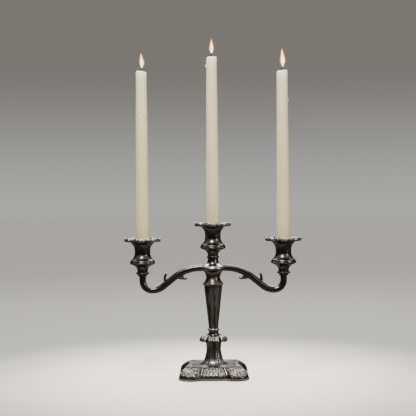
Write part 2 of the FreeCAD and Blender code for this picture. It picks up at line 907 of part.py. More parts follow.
def make_sconce(name, across, cup_level, stud_level):
    """One sconce: flared cup, vase with the nozzle's bore, and the stud through both."""
    cup_top = s["cup_height"]
    cup = [
        (s["stud_radius"], ZERO),
        (s["cup_seat_radius"], ZERO, GENTLE),
        (s["cup_turn_radius"], s["cup_turn_height"], -SLIGHT),
        (s["cup_radius"], cup_top - s["cup_edge"], -DEEP),
        (s["cup_radius"], cup_top),
        (s["stud_radius"], cup_top),
    ]
    turned(f"sconce_cup_{name}", cup, across, cup_level)
    vase_top = s["vase_height"]
    hold = s["stud_hold"]
    bore_floor = vase_top - sconce_bore_depth
    vase = [
        (s["stud_radius"], ZERO),
        (s["vase_foot_radius"], ZERO, -DEEP),
        (s["vase_foot_radius"], s["vase_edge"], -GENTLE),
        (s["vase_turn_radius"], s["vase_turn_height"], SLIGHT),
        (sconce_bore + s["vase_wall"], s["vase_waist_low"]),
        (sconce_bore + s["vase_wall"], s["vase_waist_high"], GENTLE),
        (mouth_radius, vase_top - s["vase_edge"]),
        (mouth_radius, vase_top),
        (sconce_bore, vase_top),
        (sconce_bore, bore_floor),
        (ZERO, bore_floor),
        (ZERO, hold),
        (s["stud_radius"], hold),
    ]
    turned(f"sconce_vase_{name}", vase, across, cup_level + cup_top)
    length = cup_level + cup_top + hold - stud_level
    stud = [(ZERO, ZERO), (s["stud_radius"], ZERO), (s["stud_radius"], length), (ZERO, length)]
    turned(f"sconce_stud_{name}", stud, across, stud_level)
    return cup_level + cup_top + vase_top


def make_nozzle(name, across, mouth_level):
    """The drip pan with its tube, which drops into the vase, and the leafy border on it."""
    bottom = -s["nozzle_depth"]
    rim = s["pan_rise"]
    pan = [
        (ZERO, bottom),
        (nozzle_radius, bottom),
        (nozzle_radius, ZERO),
        (mouth_radius, ZERO),
        (pan_radius, rim),
        (pan_radius, rim + s["pan_thickness"]),
        (mouth_radius, s["pan_thickness"]),
        (nozzle_radius + s["nozzle_wall"], s["pan_thickness"], GENTLE),
        (nozzle_radius, s["nozzle_lip"]),
        (nozzle_bore, s["nozzle_lip"]),
        (nozzle_bore, bottom + s["nozzle_floor"]),
        (ZERO, bottom + s["nozzle_floor"]),
    ]
    turned(f"nozzle_pan_{name}", pan, across, mouth_level)
    border_bottom = rim - s["border_drop"]
    border = [
        (pan_radius, border_bottom),
        (pan_radius + s["border_width"], rim, -GENTLE),
        (pan_radius + s["border_width"], rim + s["border_height"]),
        (pan_radius, rim + s["pan_thickness"]),
    ]
    turned(f"nozzle_border_{name}", border, across, mouth_level)


def make_candle(name, across, mouth_level, length):
    """A tapered candle standing in its nozzle, with a wick let into its top."""
    tip_radius = s["candle_tip_diameter"] / 2.0
    crown = s["candle_tip_round"]
    hole = length - s["wick_hole"]
    candle = [
        (ZERO, ZERO),
        (candle_radius, ZERO),
        (candle_radius, s["candle_butt"]),
        (tip_radius, length - crown, -FULL),
        (tip_radius - crown, length),
        (s["wick_radius"], length),
        (s["wick_radius"], hole),
        (ZERO, hole),
    ]
    seat = mouth_level - s["nozzle_depth"] + s["nozzle_floor"]
    turned(f"candle_wax_{name}", candle, across, seat)
    top = s["wick_hole"] + s["wick_height"]
    wick = [(ZERO, ZERO), (s["wick_radius"], ZERO), (s["wick_radius"], top), (ZERO, top)]
    turned(f"wick_{name}", wick, across, seat + hole)


def make_lights():
    """The three lights: the middle one over the hub and one at the end of each arm."""
    centre_stud = centre_neck_level - s["stud_hold"]
    side_stud = ferrule_level + s["ferrule_socket"]
    lights = [("centre", ZERO, centre_cup_level, centre_stud, s["centre_candle_length"])]
    for side, way in SIDES:
        across = s["arm_reach"] * way
        lights.append((side, across, side_cup_level, side_stud, s["side_candle_length"]))
    for name, across, cup_level, stud_level, candle_length in lights:
        mouth_level = make_sconce(name, across, cup_level, stud_level)
        make_nozzle(name, across, mouth_level)
        make_candle(name, across, mouth_level, candle_length)


# Checks and export ---------------------------------------------------------------


def check_document():
    """Stop if an object failed, a piece is not a sound solid or a cut took nothing away."""
    for item in document.Objects:
        if any(state in ("Invalid", "Error") for state in item.State):
            raise RuntimeError(f"{item.Label} did not recompute")
        if item.TypeId in ("PartDesign::Pocket", "PartDesign::Groove"):
            if item.Shape.Volume >= item.BaseFeature.Shape.Volume:
                raise RuntimeError(f"{item.Label} cuts nothing")
    for piece in pieces:
        if piece.Shape.isNull() or not piece.Shape.isValid():
            raise RuntimeError(f"{piece.Label} has no valid shape")
        if len(piece.Shape.Solids) != 1:
            raise RuntimeError(f"{piece.Label} is not one solid")


def export_pieces():
    os.makedirs("parts", exist_ok=True)
    for piece in pieces:
        piece.Shape.exportStep(f"parts/{piece.Label}.step")
        print(f"{piece.Label}: {piece.Shape.Volume / 1000.0:.2f} cm3")


make_base_shell()
make_base_rim()
make_base_filling()
make_rod()
make_stem()
make_socket()
make_spigot()
make_hub()
make_leaves(make_arms())
make_ferrules()
make_lights()
document.recompute()
check_document()
export_pieces()
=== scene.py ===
# %% [markdown]
# # A three-light candelabra
# The object is old silver plate: a stamped base, a fluted foot, a tapered stem, a branch
# of three sconces that lifts off the stem, three loose nozzles with drip pans, and three
# burning candles.
#
# All of it could be modelled again here, but then it would no longer fit and move as it
# was designed.  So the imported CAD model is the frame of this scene, and nothing in it is
# moved or resized.  The turned pieces are shown as they are, with new materials.  The
# embossed, leafy and waxy pieces get finer skins that sit exactly where the CAD pieces
# are.

# %% Load the frame
import math

import bpy
import numpy as np
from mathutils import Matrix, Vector
from mathutils.bvhtree import BVHTree


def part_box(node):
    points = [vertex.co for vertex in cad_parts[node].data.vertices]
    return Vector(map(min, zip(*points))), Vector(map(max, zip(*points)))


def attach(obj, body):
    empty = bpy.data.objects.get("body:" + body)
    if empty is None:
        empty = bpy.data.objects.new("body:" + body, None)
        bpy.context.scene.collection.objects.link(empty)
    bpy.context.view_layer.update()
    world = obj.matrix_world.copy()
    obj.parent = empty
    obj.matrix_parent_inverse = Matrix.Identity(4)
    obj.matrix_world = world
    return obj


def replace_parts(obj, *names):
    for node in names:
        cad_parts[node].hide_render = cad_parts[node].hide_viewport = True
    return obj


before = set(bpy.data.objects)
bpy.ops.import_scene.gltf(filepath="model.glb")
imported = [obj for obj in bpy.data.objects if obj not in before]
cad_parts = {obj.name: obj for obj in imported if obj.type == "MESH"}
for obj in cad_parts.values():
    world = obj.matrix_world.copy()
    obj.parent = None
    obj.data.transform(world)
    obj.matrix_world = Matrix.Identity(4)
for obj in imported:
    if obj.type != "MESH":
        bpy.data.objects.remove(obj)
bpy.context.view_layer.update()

MM = 0.001
LIGHTS = ("left", "centre", "right")

# %% [markdown]
# ## Reading sizes off the frame
# A skin has to lie on the CAD piece that it stands for.  Its sizes could be typed in
# again, but they would go wrong as soon as the design changed, so they are measured on
# the piece.  A turned piece is cut at a level, and the widest point of the cut is its
# radius there.  That needs only the edges that cross the level.

# %% Measuring helpers


def mesh_edges(node):
    """Both ends of every edge of a CAD node, in millimetres."""
    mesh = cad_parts[node].data
    spots = np.empty(len(mesh.vertices) * 3)
    mesh.vertices.foreach_get("co", spots)
    ends = np.empty(len(mesh.edges) * 2, dtype=np.int32)
    mesh.edges.foreach_get("vertices", ends)
    return spots.reshape(-1, 3)[ends.reshape(-1, 2)] / MM


def middle(node):
    """The middle of a CAD node's box, in millimetres."""
    low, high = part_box(node)
    return np.array((low + high) / 2) / MM


def span(node):
    """The lowest and highest level of a CAD node, in millimetres."""
    low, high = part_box(node)
    return low.z / MM, high.z / MM


def turned_radii(node, levels):
    """The outside radius of a turned CAD node at each of the levels."""
    edges = mesh_edges(node)
    axis = middle(node)
    radii = []
    for level in levels:
        low, high = edges[:, 0], edges[:, 1]
        crossing = (low[:, 2] - level) * (high[:, 2] - level) < 0
        a, b = low[crossing], high[crossing]
        share = ((level - a[:, 2]) / (b[:, 2] - a[:, 2]))[:, None]
        cut = a + (b - a) * share
        radii.append(np.hypot(cut[:, 0] - axis[0], cut[:, 1] - axis[1]).max())
    return np.array(radii)


print("foot, bottom to top, mm:", [round(level, 1) for level in span("foot")])

# %% [markdown]
# ## Making a skin
# Embossing is shallow and runs all over a piece, so it could be sculpted, or faked with
# bump alone.  Sculpting can't be repeated by a script, and bump leaves the outline
# smooth.  Here every skin is a grid of points instead: rows run one way over the
# surface, columns run round it, and formulas push the points in and out.  Beside each
# point the mesh stores how bright it is rubbed, for the material to read; in places that
# number also carries painted light, painted shade and the painted glow of the wax.

# %% Mesh helpers


def full_turn(steps):
    """Evenly spaced turns about an axis, in radians, from 0 to just short of a full turn."""
    return np.arange(steps) * 2.0 * math.pi / steps


def swept_round(radii, levels, turns, centre=(0.0, 0.0)):
    """A grid of points with one column for each turn about an upright axis."""
    x = centre[0] + radii * np.cos(turns)
    y = centre[1] + radii * np.sin(turns)
    return np.stack((x, y, levels + 0.0 * radii), axis=-1)


def grid_faces(rows, columns):
    """The four-sided faces of a grid whose last column meets its first."""
    row, column = np.meshgrid(np.arange(rows - 1), np.arange(columns), indexing="ij")
    beside = (column + 1) % columns
    corners = (
        row * columns + column,
        row * columns + beside,
        (row + 1) * columns + beside,
        (row + 1) * columns + column,
    )
    return np.stack(corners, axis=-1).reshape(-1, 4)


def add_skin(name, grid, body, material, relief):
    """A smooth mesh piece from a grid of points in millimetres, riding on a body."""
    rows, columns = grid.shape[:2]
    points = (grid.reshape(-1, 3) * MM).tolist()
    mesh = bpy.data.meshes.new(name)
    mesh.from_pydata(points, [], grid_faces(rows, columns).tolist())
    mesh.polygons.foreach_set("use_smooth", [True] * len(mesh.polygons))
    heights = mesh.attributes.new("relief", "FLOAT", "POINT")
    heights.data.foreach_set("value", np.asarray(relief, dtype=np.float32).ravel())
    mesh.materials.append(material)
    mesh.update()
    piece = bpy.data.objects.new(name, mesh)
    bpy.context.scene.collection.objects.link(piece)
    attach(piece, body)
    return piece


def smooth_step(low, high, value):
    """0 below low, 1 above high, and a smooth rise between them."""
    share = np.clip((value - low) / (high - low), 0.0, 1.0)
    return share * share * (3.0 - 2.0 * share)


def hill(value, place, width):
    """1 where the value is at the place, and a smooth fall towards 0 on both sides."""
    return np.exp(-(((value - place) / width) ** 2))


print("a band of 12 columns has", len(grid_faces(2, 12)), "faces")

# %% [markdown]
# ## Shader groups
# All the plate has the same history: silver over copper, tarnished to a brown black,
# rubbed bright where hands and cloths reach it, and worn to the copper in places.  Each
# material could draw this for itself, but then one change would have to be made eight
# times.  So the look is one node group, placed in each metal material with its own
# values.  A group puts out only colours and numbers: the Principled shader stays in the
# material, where an exporter can read it.

# %% Node helpers
FLOAT, COLOUR = "NodeSocketFloat", "NodeSocketColor"
BLEND_SHARE, BLEND_LOW, BLEND_HIGH, BLEND_RESULT = 0, 6, 7, 2


def new_group(name, inputs, outputs):
    """An empty node group; inputs are a name and a default, outputs a name and a kind."""
    group = bpy.data.node_groups.new(name, "ShaderNodeTree")
    for socket, value in inputs:
        made = group.interface.new_socket(socket, in_out="INPUT", socket_type=FLOAT)
        made.default_value = value
    for socket, kind in outputs:
        group.interface.new_socket(socket, in_out="OUTPUT", socket_type=kind)
    return group


def set_inputs(tree, node, values):
    """Give each named or numbered input its value, or link it to a socket."""
    for key, value in values.items():
        if isinstance(value, bpy.types.NodeSocket):
            tree.links.new(value, node.inputs[key])
        else:
            node.inputs[key].default_value = value


def add_node(tree, kind, values=None, **settings):
    """Add a node, set its own settings, then its inputs, by value or by link."""
    node = tree.nodes.new(kind)
    for key, value in settings.items():
        setattr(node, key, value)
    set_inputs(tree, node, values or {})
    return node


def maths(tree, operation, first, second=0.0, third=0.0, clamp=False):
    """The result of a Math node."""
    values = {0: first, 1: second, 2: third}
    node = add_node(tree, "ShaderNodeMath", values, operation=operation, use_clamp=clamp)
    return node.outputs[0]


def blend_colours(tree, share, low, high):
    """low where the share is 0, high where it is 1."""
    values = {BLEND_SHARE: share, BLEND_LOW: low, BLEND_HIGH: high}
    return add_node(tree, "ShaderNodeMix", values, data_type="RGBA").outputs[BLEND_RESULT]


def remap(tree, value, low, high, to_low=0.0, to_high=1.0):
    """A smooth step from to_low at low to to_high at high."""
    values = {"Value": value, "From Min": low, "From Max": high}
    values.update({"To Min": to_low, "To Max": to_high})
    node = add_node(tree, "ShaderNodeMapRange", values, interpolation_type="SMOOTHSTEP")
    return node.outputs[0]


def noise(tree, place, scale, detail=4.0, roughness=0.55):
    """Cloudy noise; scale is in lumps per metre."""
    values = {"Vector": place, "Scale": scale, "Detail": detail, "Roughness": roughness}
    return add_node(tree, "ShaderNodeTexNoise", values).outputs["Fac"]


def object_place(tree):
    """Where a point is on its piece, which stays the same when the piece moves."""
    return add_node(tree, "ShaderNodeTexCoord").outputs["Object"]


def stretched(tree, place, stretch):
    """A place scaled along each axis, which draws a noise out into streaks."""
    values = {0: place, 1: stretch}
    return add_node(tree, "ShaderNodeVectorMath", values, operation="MULTIPLY").outputs[0]


print("a Mix node blends its inputs", BLEND_LOW, "and", BLEND_HIGH)

# %% [markdown]
# ### Old plate
# The group builds the surface up as time did: black soot in the hollows, brown tarnish
# on the open ground, silver where the crests are rubbed, copper where the plate has gone,
# and dark streaks where polish ran down and dried.  The same black is also painted as
# shade, where a skin stores a low number on open ground.  Each layer is a blend over the
# one before it, and a noise of its own keeps its edge uneven.

# %% The old plate group
SOOT_AND_SHADE = (0.016, 0.014, 0.012, 1.0)
TARNISH = (0.074, 0.064, 0.057, 1.0)
SILVER = (0.58, 0.58, 0.55, 1.0)
COPPER = (0.17, 0.105, 0.065, 1.0)
STAIN = (0.020, 0.013, 0.010, 1.0)
SOOT_AND_SHADE_ENDS, CREST_STARTS, CREST_FULL = 0.38, 0.4, 0.95
FINE_GRAIN, STREAK_GRAIN = 1500.0, 260.0
STREAK_STRETCH = (1.0, 1.0, 0.04)
LEAST_RUB = 0.55
CLEAN_ROUGHNESS, SMOKE_ROUGHNESS, SOOT_ROUGHNESS, GRAIN_ROUGHNESS = 0.14, 0.10, 0.35, 0.08


def plate_colour(group, inside, place, cloud, out_of_soot_and_shade):
    """The layers of colour, from the soot up."""
    # Black soot in the hollows, also used as painted shade where a skin stores a low number.
    ground = blend_colours(group, out_of_soot_and_shade, SOOT_AND_SHADE, TARNISH)
    crest = remap(group, inside["Relief"], CREST_STARTS, CREST_FULL)
    patchy = maths(group, "MULTIPLY_ADD", cloud, 1.0 - LEAST_RUB, LEAST_RUB)
    rubbed = maths(group, "MULTIPLY", crest, patchy)
    rubbed = maths(group, "MULTIPLY", rubbed, inside["Wear"], clamp=True)
    plate = blend_colours(group, rubbed, ground, SILVER)
    broad_scale = maths(group, "MULTIPLY", inside["Blotch Scale"], 0.5)
    broad = remap(group, noise(group, place, broad_scale, 3.0, 0.5), 0.5, 0.7)
    bare = maths(group, "MULTIPLY", broad, inside["Copper Amount"])
    bare = maths(group, "MULTIPLY", bare, out_of_soot_and_shade)
    colour = blend_colours(group, bare, plate, COPPER)
    drawn_out = stretched(group, place, STREAK_STRETCH)
    streak = remap(group, noise(group, drawn_out, STREAK_GRAIN, 3.0, 0.6), 0.44, 0.62)
    stained = maths(group, "MULTIPLY", streak, inside["Streaks"])
    return blend_colours(group, stained, colour, STAIN)


def plate_roughness(group, inside, cloud, fine, out_of_soot_and_shade):
    """Smoky patches, sooty hollows and fine scratches, with the material's dullness on top."""
    smoke = maths(group, "SUBTRACT", 1.0, cloud)
    smoky = maths(group, "MULTIPLY_ADD", smoke, SMOKE_ROUGHNESS, CLEAN_ROUGHNESS)
    hollow = maths(group, "SUBTRACT", 1.0, out_of_soot_and_shade)
    sooty = maths(group, "MULTIPLY", hollow, SOOT_ROUGHNESS)
    scratched = maths(group, "MULTIPLY", fine, GRAIN_ROUGHNESS)
    rough = maths(group, "ADD", maths(group, "ADD", smoky, sooty), scratched)
    return maths(group, "ADD", rough, inside["Dullness"], clamp=True)


def make_old_plate():
    """Colour, roughness and fine height of old silver plate.

    Relief is 0 in a hollow and 1 on a crest; where a skin stores a low number as painted
    shade, that also comes out as black soot.  Wear says how far the crests are rubbed
    bright, Copper Amount how much of the copper shows, and Streaks how dark the stains are.
    """
    inputs = [("Relief", 0.5), ("Wear", 0.5), ("Copper Amount", 0.3)]
    inputs += [("Blotch Scale", 60.0), ("Dullness", 0.0), ("Streaks", 0.0)]
    outputs = [("Color", COLOUR), ("Roughness", FLOAT), ("Height", FLOAT)]
    group = new_group("old_plate", inputs, outputs)
    inside = group.nodes.new("NodeGroupInput").outputs
    place = object_place(group)
    cloud = noise(group, place, inside["Blotch Scale"], 6.0, 0.62)
    cloud = remap(group, cloud, 0.36, 0.66)
    fine = noise(group, place, FINE_GRAIN, 3.0, 0.6)
    out_of_soot_and_shade = remap(group, inside["Relief"], 0.02, SOOT_AND_SHADE_ENDS)
    made = {
        "Color": plate_colour(group, inside, place, cloud, out_of_soot_and_shade),
        "Roughness": plate_roughness(group, inside, cloud, fine, out_of_soot_and_shade),
        "Height": fine,
    }
    set_inputs(group, group.nodes.new("NodeGroupOutput"), made)
    return group


old_plate = make_old_plate()
print("node group:", old_plate.name, len(old_plate.nodes), "nodes")

# %% [markdown]
# ### Turning lines
# A lathe and a polishing wheel leave fine rings round a spun piece.  An image of rings
# would need to be wrapped round each piece.  A noise that reads only the height above
# the table makes rings on every upright piece at once.

# %% The turning lines group


def make_turning_lines():
    """Fine rings, as a height; Spacing is their usual distance in metres."""
    group = new_group("turning_lines", [("Spacing", 1.0)], [("Height", FLOAT)])
    inside = group.nodes.new("NodeGroupInput").outputs
    height = add_node(group, "ShaderNodeSeparateXYZ", {0: object_place(group)}).outputs["Z"]
    level = maths(group, "DIVIDE", height, inside["Spacing"])
    only_level = add_node(group, "ShaderNodeCombineXYZ", {"Z": level}).outputs[0]
    rings = noise(group, only_level, 1.0, 3.0, 0.7)
    set_inputs(group, group.nodes.new("NodeGroupOutput"), {"Height": rings})
    return group


turning_lines = make_turning_lines()
print("node group:", turning_lines.name, len(turning_lines.nodes), "nodes")

# %% [markdown]
# ## Metal materials
# The turned pieces take their relief from a constant, because a cloth reaches them
# evenly.  The cast and stamped pieces read it from their mesh, so that the raised leaves
# shine and the ground between them stays black.  A cavity mask worked out by the
# renderer would do the same, but an exported model would lose it.

# %% Metal material maker
GRAIN_HEIGHT, RING_SPACING = 0.35, 0.4 * MM
PLATE_BUMP, PLATE_BUMP_DEPTH = 0.25, 0.05 * MM
# The foot of the rim is painted dark as a contact shadow on the table; above it the rim is rubbed
# bright.
RIM_PAINTED_SHADOW_BELOW, RIM_BRIGHT_ABOVE, RIM_RELIEF = 1.0 * MM, 2.0 * MM, 0.9


def new_material(name):
    """A node material, with its tree and its Principled shader."""
    material = bpy.data.materials.new(name)
    material.use_nodes = True
    tree = material.node_tree
    return material, tree, tree.nodes["Principled BSDF"]


def stored_relief(tree):
    """The number that add_skin stored beside each point."""
    return add_node(tree, "ShaderNodeAttribute", attribute_name="relief").outputs["Fac"]


def object_level(tree):
    """The height of a point above the table, in metres."""
    return add_node(tree, "ShaderNodeSeparateXYZ", {0: object_place(tree)}).outputs["Z"]


def rim_shadow_and_rub(tree):
    """Painted contact shadow at the foot of the rim where it meets the table, and a rubbed crest
    above that.
    """
    return remap(tree, object_level(tree), RIM_PAINTED_SHADOW_BELOW, RIM_BRIGHT_ABOVE, 0.0, RIM_RELIEF)


def plate_material(name, wear, copper, blotches, relief, rings=0.0, dull=0.0, streaks=0.0):
    """Old plate; relief is a number or a function that adds its nodes to the tree."""
    material, tree, shader = new_material(name)
    values = {
        "Relief": relief(tree) if callable(relief) else relief,
        "Wear": wear,
        "Copper Amount": copper,
        "Blotch Scale": blotches,
        "Dullness": dull,
        "Streaks": streaks,
    }
    plate = add_node(tree, "ShaderNodeGroup", values, node_tree=old_plate).outputs
    height = maths(tree, "MULTIPLY", plate["Height"], GRAIN_HEIGHT)
    if rings:
        spacing = {"Spacing": RING_SPACING}
        turned = add_node(tree, "ShaderNodeGroup", spacing, node_tree=turning_lines)
        deep = maths(tree, "MULTIPLY", turned.outputs["Height"], rings)
        height = maths(tree, "ADD", height, deep)
    bump = add_node(tree, "ShaderNodeBump", {"Height": height, "Strength": PLATE_BUMP})
    bump.inputs["Distance"].default_value = PLATE_BUMP_DEPTH
    finish = {
        "Base Color": plate["Color"],
        "Roughness": plate["Roughness"],
        "Normal": bump.outputs["Normal"],
        "Metallic": 1.0,
    }
    set_inputs(tree, shader, finish)
    return material


turned_plate = plate_material("turned_plate", 0.45, 0.2, 55.0, relief=0.5, rings=0.5)
pan_plate = plate_material("pan_plate", 0.8, 0.15, 80.0, relief=0.7, rings=0.3)
arm_plate = plate_material("arm_plate", 0.2, 0.15, 70.0, relief=0.45)
cast_plate = plate_material("cast_plate", 0.85, 0.2, 110.0, stored_relief)
stamped_plate = plate_material(
    "stamped_plate", 0.62, 0.2, 90.0, stored_relief, dull=0.06, streaks=0.25
)
worn_plate = plate_material(
    "worn_plate", 0.5, 0.95, 45.0, relief=0.62, dull=0.26, streaks=0.85
)
foot_plate = plate_material(
    "foot_plate", 1.0, 0.5, 60.0, stored_relief, dull=0.10, streaks=0.3
)
rim_plate = plate_material("rim_plate", 0.9, 0.8, 60.0, rim_shadow_and_rub)
print("plate finishes:", old_plate.users)

# %% [markdown]
# ## Iron, brass, baize and cement
# These hardly show: iron rods and studs inside the stem, the bare brass of the socket
# that appears when the branch is lifted, green baize under the base, and the cement that
# loads it.  One simple recipe serves them all, a grain in the colour and in the height,
# because what tells them apart is colour, metal or not, and roughness.

# %% Inside materials
GRAIN_SHADE, GRAIN_BUMP = 0.6, 0.5


def plain_material(name, colour, metallic, roughness, grain_scale, grain_depth):
    """A simple surface with a grain in its colour and height."""
    material, tree, shader = new_material(name)
    grain = noise(tree, object_place(tree), grain_scale, 5.0, 0.6)
    darker = tuple(GRAIN_SHADE * channel for channel in colour) + (1.0,)
    bump = add_node(tree, "ShaderNodeBump", {"Height": grain, "Strength": GRAIN_BUMP})
    bump.inputs["Distance"].default_value = grain_depth * MM
    finish = {
        "Base Color": blend_colours(tree, grain, darker, (*colour, 1.0)),
        "Normal": bump.outputs["Normal"],
        "Metallic": metallic,
        "Roughness": roughness,
    }
    set_inputs(tree, shader, finish)
    return material


iron = plain_material("iron", (0.32, 0.31, 0.30), 1.0, 0.45, 300.0, 0.05)
bare_brass = plain_material("bare_brass", (0.60, 0.45, 0.22), 1.0, 0.35, 200.0, 0.04)
baize = plain_material("baize", (0.03, 0.12, 0.06), 0.0, 0.95, 2500.0, 0.3)
baize.node_tree.nodes["Principled BSDF"].inputs["Sheen Weight"].default_value = 0.4
cement = plain_material("cement", (0.55, 0.52, 0.46), 0.0, 0.9, 400.0, 0.2)
print("inside materials:", iron.name, bare_brass.name, baize.name, cement.name)

# %% [markdown]
# ## Finishing the CAD pieces
# A CAD piece whose shape is right keeps its mesh and only gets a better material.  That
# keeps every fit exact, and it is much less work than a copy.

# %% Give every CAD node its material


def for_each_light(*kinds):
    """The names of the nodes that every light has one of."""
    return tuple(f"{kind}_{light}" for light in LIGHTS for kind in kinds)


CAD_FINISH = {
    turned_plate: ("neck", "shoulder", "hub_bell", "centre_neck")
    + ("ferrule_left", "ferrule_right")
    + for_each_light("sconce_cup", "sconce_vase"),
    pan_plate: ("neck_ring",) + for_each_light("nozzle_pan"),
    worn_plate: ("column", "foot_band"),
    arm_plate: ("arm_left", "arm_right"),
    rim_plate: ("base_rim",),
    iron: ("tie_rod", "rod_nut", "rod_washer") + for_each_light("sconce_stud"),
    bare_brass: ("socket", "branch_spigot", "base_plate"),
    baize: ("baize_pad",),
    cement: ("base_loading",),
}
for finish, nodes in CAD_FINISH.items():
    for node in nodes:
        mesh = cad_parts[node].data
        mesh.materials.clear()
        mesh.materials.append(finish)
print("CAD nodes with a finish:", sum(len(nodes) for nodes in CAD_FINISH.values()))

# %% [markdown]
# ## The stamped base
# The real cover is one sheet pressed in a die: a raised seat for the foot, dished panels
# between ridges, and an embossed border that runs over the edge and down the wall.  It
# could be built from separate ornaments on a plain shell, but a pressing has no seams.
# So its plan is read off the CAD rim by casting rays at it from outside, and a profile
# from the seat to the rim is drawn once and swept round that plan.

# %% The plan of the base
ROUND_STEPS = 960
PLAN_SOFTENING = 6
RAY_START = 0.2
A_HAIR = 0.05


def plan_radii(node, level, turns):
    """How far a CAD node reaches in each direction at one level."""
    tree = BVHTree.FromObject(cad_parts[node], bpy.context.evaluated_depsgraph_get())
    radii = []
    for turn in turns:
        way = Vector((math.cos(turn), math.sin(turn), 0.0))
        start = way * RAY_START + Vector((0.0, 0.0, level * MM))
        radii.append(tree.ray_cast(start, -way)[0].xy.length / MM)
    return np.array(radii)


def soften(radii, steps):
    """Round off a closed row of radii by averaging each one with its neighbours."""
    kernel = np.hanning(2 * steps + 3)[1:-1]
    kernel /= kernel.sum()
    return np.convolve(np.concatenate((radii[-steps:], radii, radii[:steps])), kernel, "valid")


def side_turn(turns):
    """How far round from the middle of the nearest side, between -45 and 45 degrees."""
    return (turns + math.pi / 4.0) % (math.pi / 2.0) - math.pi / 4.0


shell_low, shell_high = span("base_shell")
seat_radius = turned_radii("foot", [span("foot")[0] + A_HAIR])[0]
angles = full_turn(ROUND_STEPS)
plan = soften(plan_radii("base_rim", shell_low / 2.0, angles), PLAN_SOFTENING)
print("base plan from", round(plan.min(), 1), "to", round(plan.max(), 1), "mm")
print("seat radius", round(seat_radius, 1))

# %% [markdown]
# ### Stamps
# A die cutter works with punches: a petal, a leaf, a scroll, a bead.  The embossing here
# is made the same way, on the border as it would be unrolled on a bench.  `along` runs
# round the edge from the middle of a side or a corner, and `up` climbs from the rim over
# the wall on to the top, both in millimetres.  A stamp gives a height between 0 and 1 at
# every point, and where stamps overlap the highest one wins.

# %% Flower, leaf, scroll and bead


def turned_about(along, up, centre, angle):
    """Coordinates measured from a centre, along and across a direction."""
    x, y = along - centre[0], up - centre[1]
    cos, sin = math.cos(angle), math.sin(angle)
    return x * cos + y * sin, y * cos - x * sin


def flower_stamp(along, up, centre, radius, petals, turn=0.0):
    """A flower: round petals with creases between them, and a button in the middle."""
    x, y = turned_about(along, up, centre, turn)
    reach, around = np.hypot(x, y), np.arctan2(y, x)
    edge = radius * (0.66 + 0.34 * np.abs(np.cos(petals * around / 2.0)) ** 0.7)
    share = reach / edge
    petal = np.sqrt(np.clip(1.0 - share**2, 0.0, 1.0))
    crease = 0.35 * (1.0 - np.abs(np.cos(petals * around / 2.0))) * np.clip(share * 2.0, 0, 1)
    ring = 1.0 - 0.55 * hill(reach / radius, 0.34, 0.09)
    return np.clip((petal - crease) * ring, 0.0, 1.0)


def leaf_stamp(along, up, centre, angle, length, width, lobes=5):
    """A pointed leaf with a sunk midrib and a toothed edge."""
    x, y = turned_about(along, up, centre, angle)
    share = x / length
    inside = (share > 0.0) & (share < 1.0)
    outline = np.sin(math.pi * np.clip(share, 0.0, 1.0) ** 0.8)
    teeth = 1.0 - 0.16 * np.abs(np.sin(math.pi * lobes * share))
    half = np.maximum(width / 2.0 * outline * teeth, 1e-6)
    across = np.abs(y) / half
    body = np.sqrt(np.clip(1.0 - across**2, 0.0, 1.0))
    rib = 1.0 - 0.5 * hill(y, 0.0, 0.09 * width)
    return np.where(inside & (across < 1.0), body * rib * (0.6 + 0.4 * outline), 0.0)


def scroll_stamp(along, up, centre, radius, hand, turn=0.0, width=0.9):
    """A coiled stem: a round wire that winds in towards its eye."""
    x, y = turned_about(along, up, centre, turn)
    reach, around = np.hypot(x, y), np.arctan2(y * hand, x)
    height = np.zeros_like(reach)
    for winding in range(3):
        swept = around + 2.0 * math.pi * winding
        centre_line = radius * np.exp(-0.26 * (swept + math.pi))
        gap = np.abs(reach - centre_line) / (width * (0.5 + 0.5 * centre_line / radius))
        height = np.maximum(height, np.sqrt(np.clip(1.0 - gap**2, 0.0, 1.0)))
    eye = np.sqrt(np.clip(1.0 - (reach / (0.22 * radius)) ** 2, 0.0, 1.0))
    return np.maximum(height, eye)


def bead_stamp(along, up, centre, radius):
    """Half a ball."""
    reach = np.hypot(along - centre[0], up - centre[1]) / radius
    return np.sqrt(np.clip(1.0 - reach**2, 0.0, 1.0))


print("a bead is highest in its middle:", bead_stamp(0.0, 0.0, (0.0, 0.0), 1.0))

# %% [markdown]
# ### The pattern
# Real borders repeat, so one side and one corner are laid out, and both are mirrored
# about their middles by measuring `along` as a distance.  The places are chosen as an
# engraver would: flowers first, then leaves and scrolls that fill the gaps.

# %% The pattern of a side


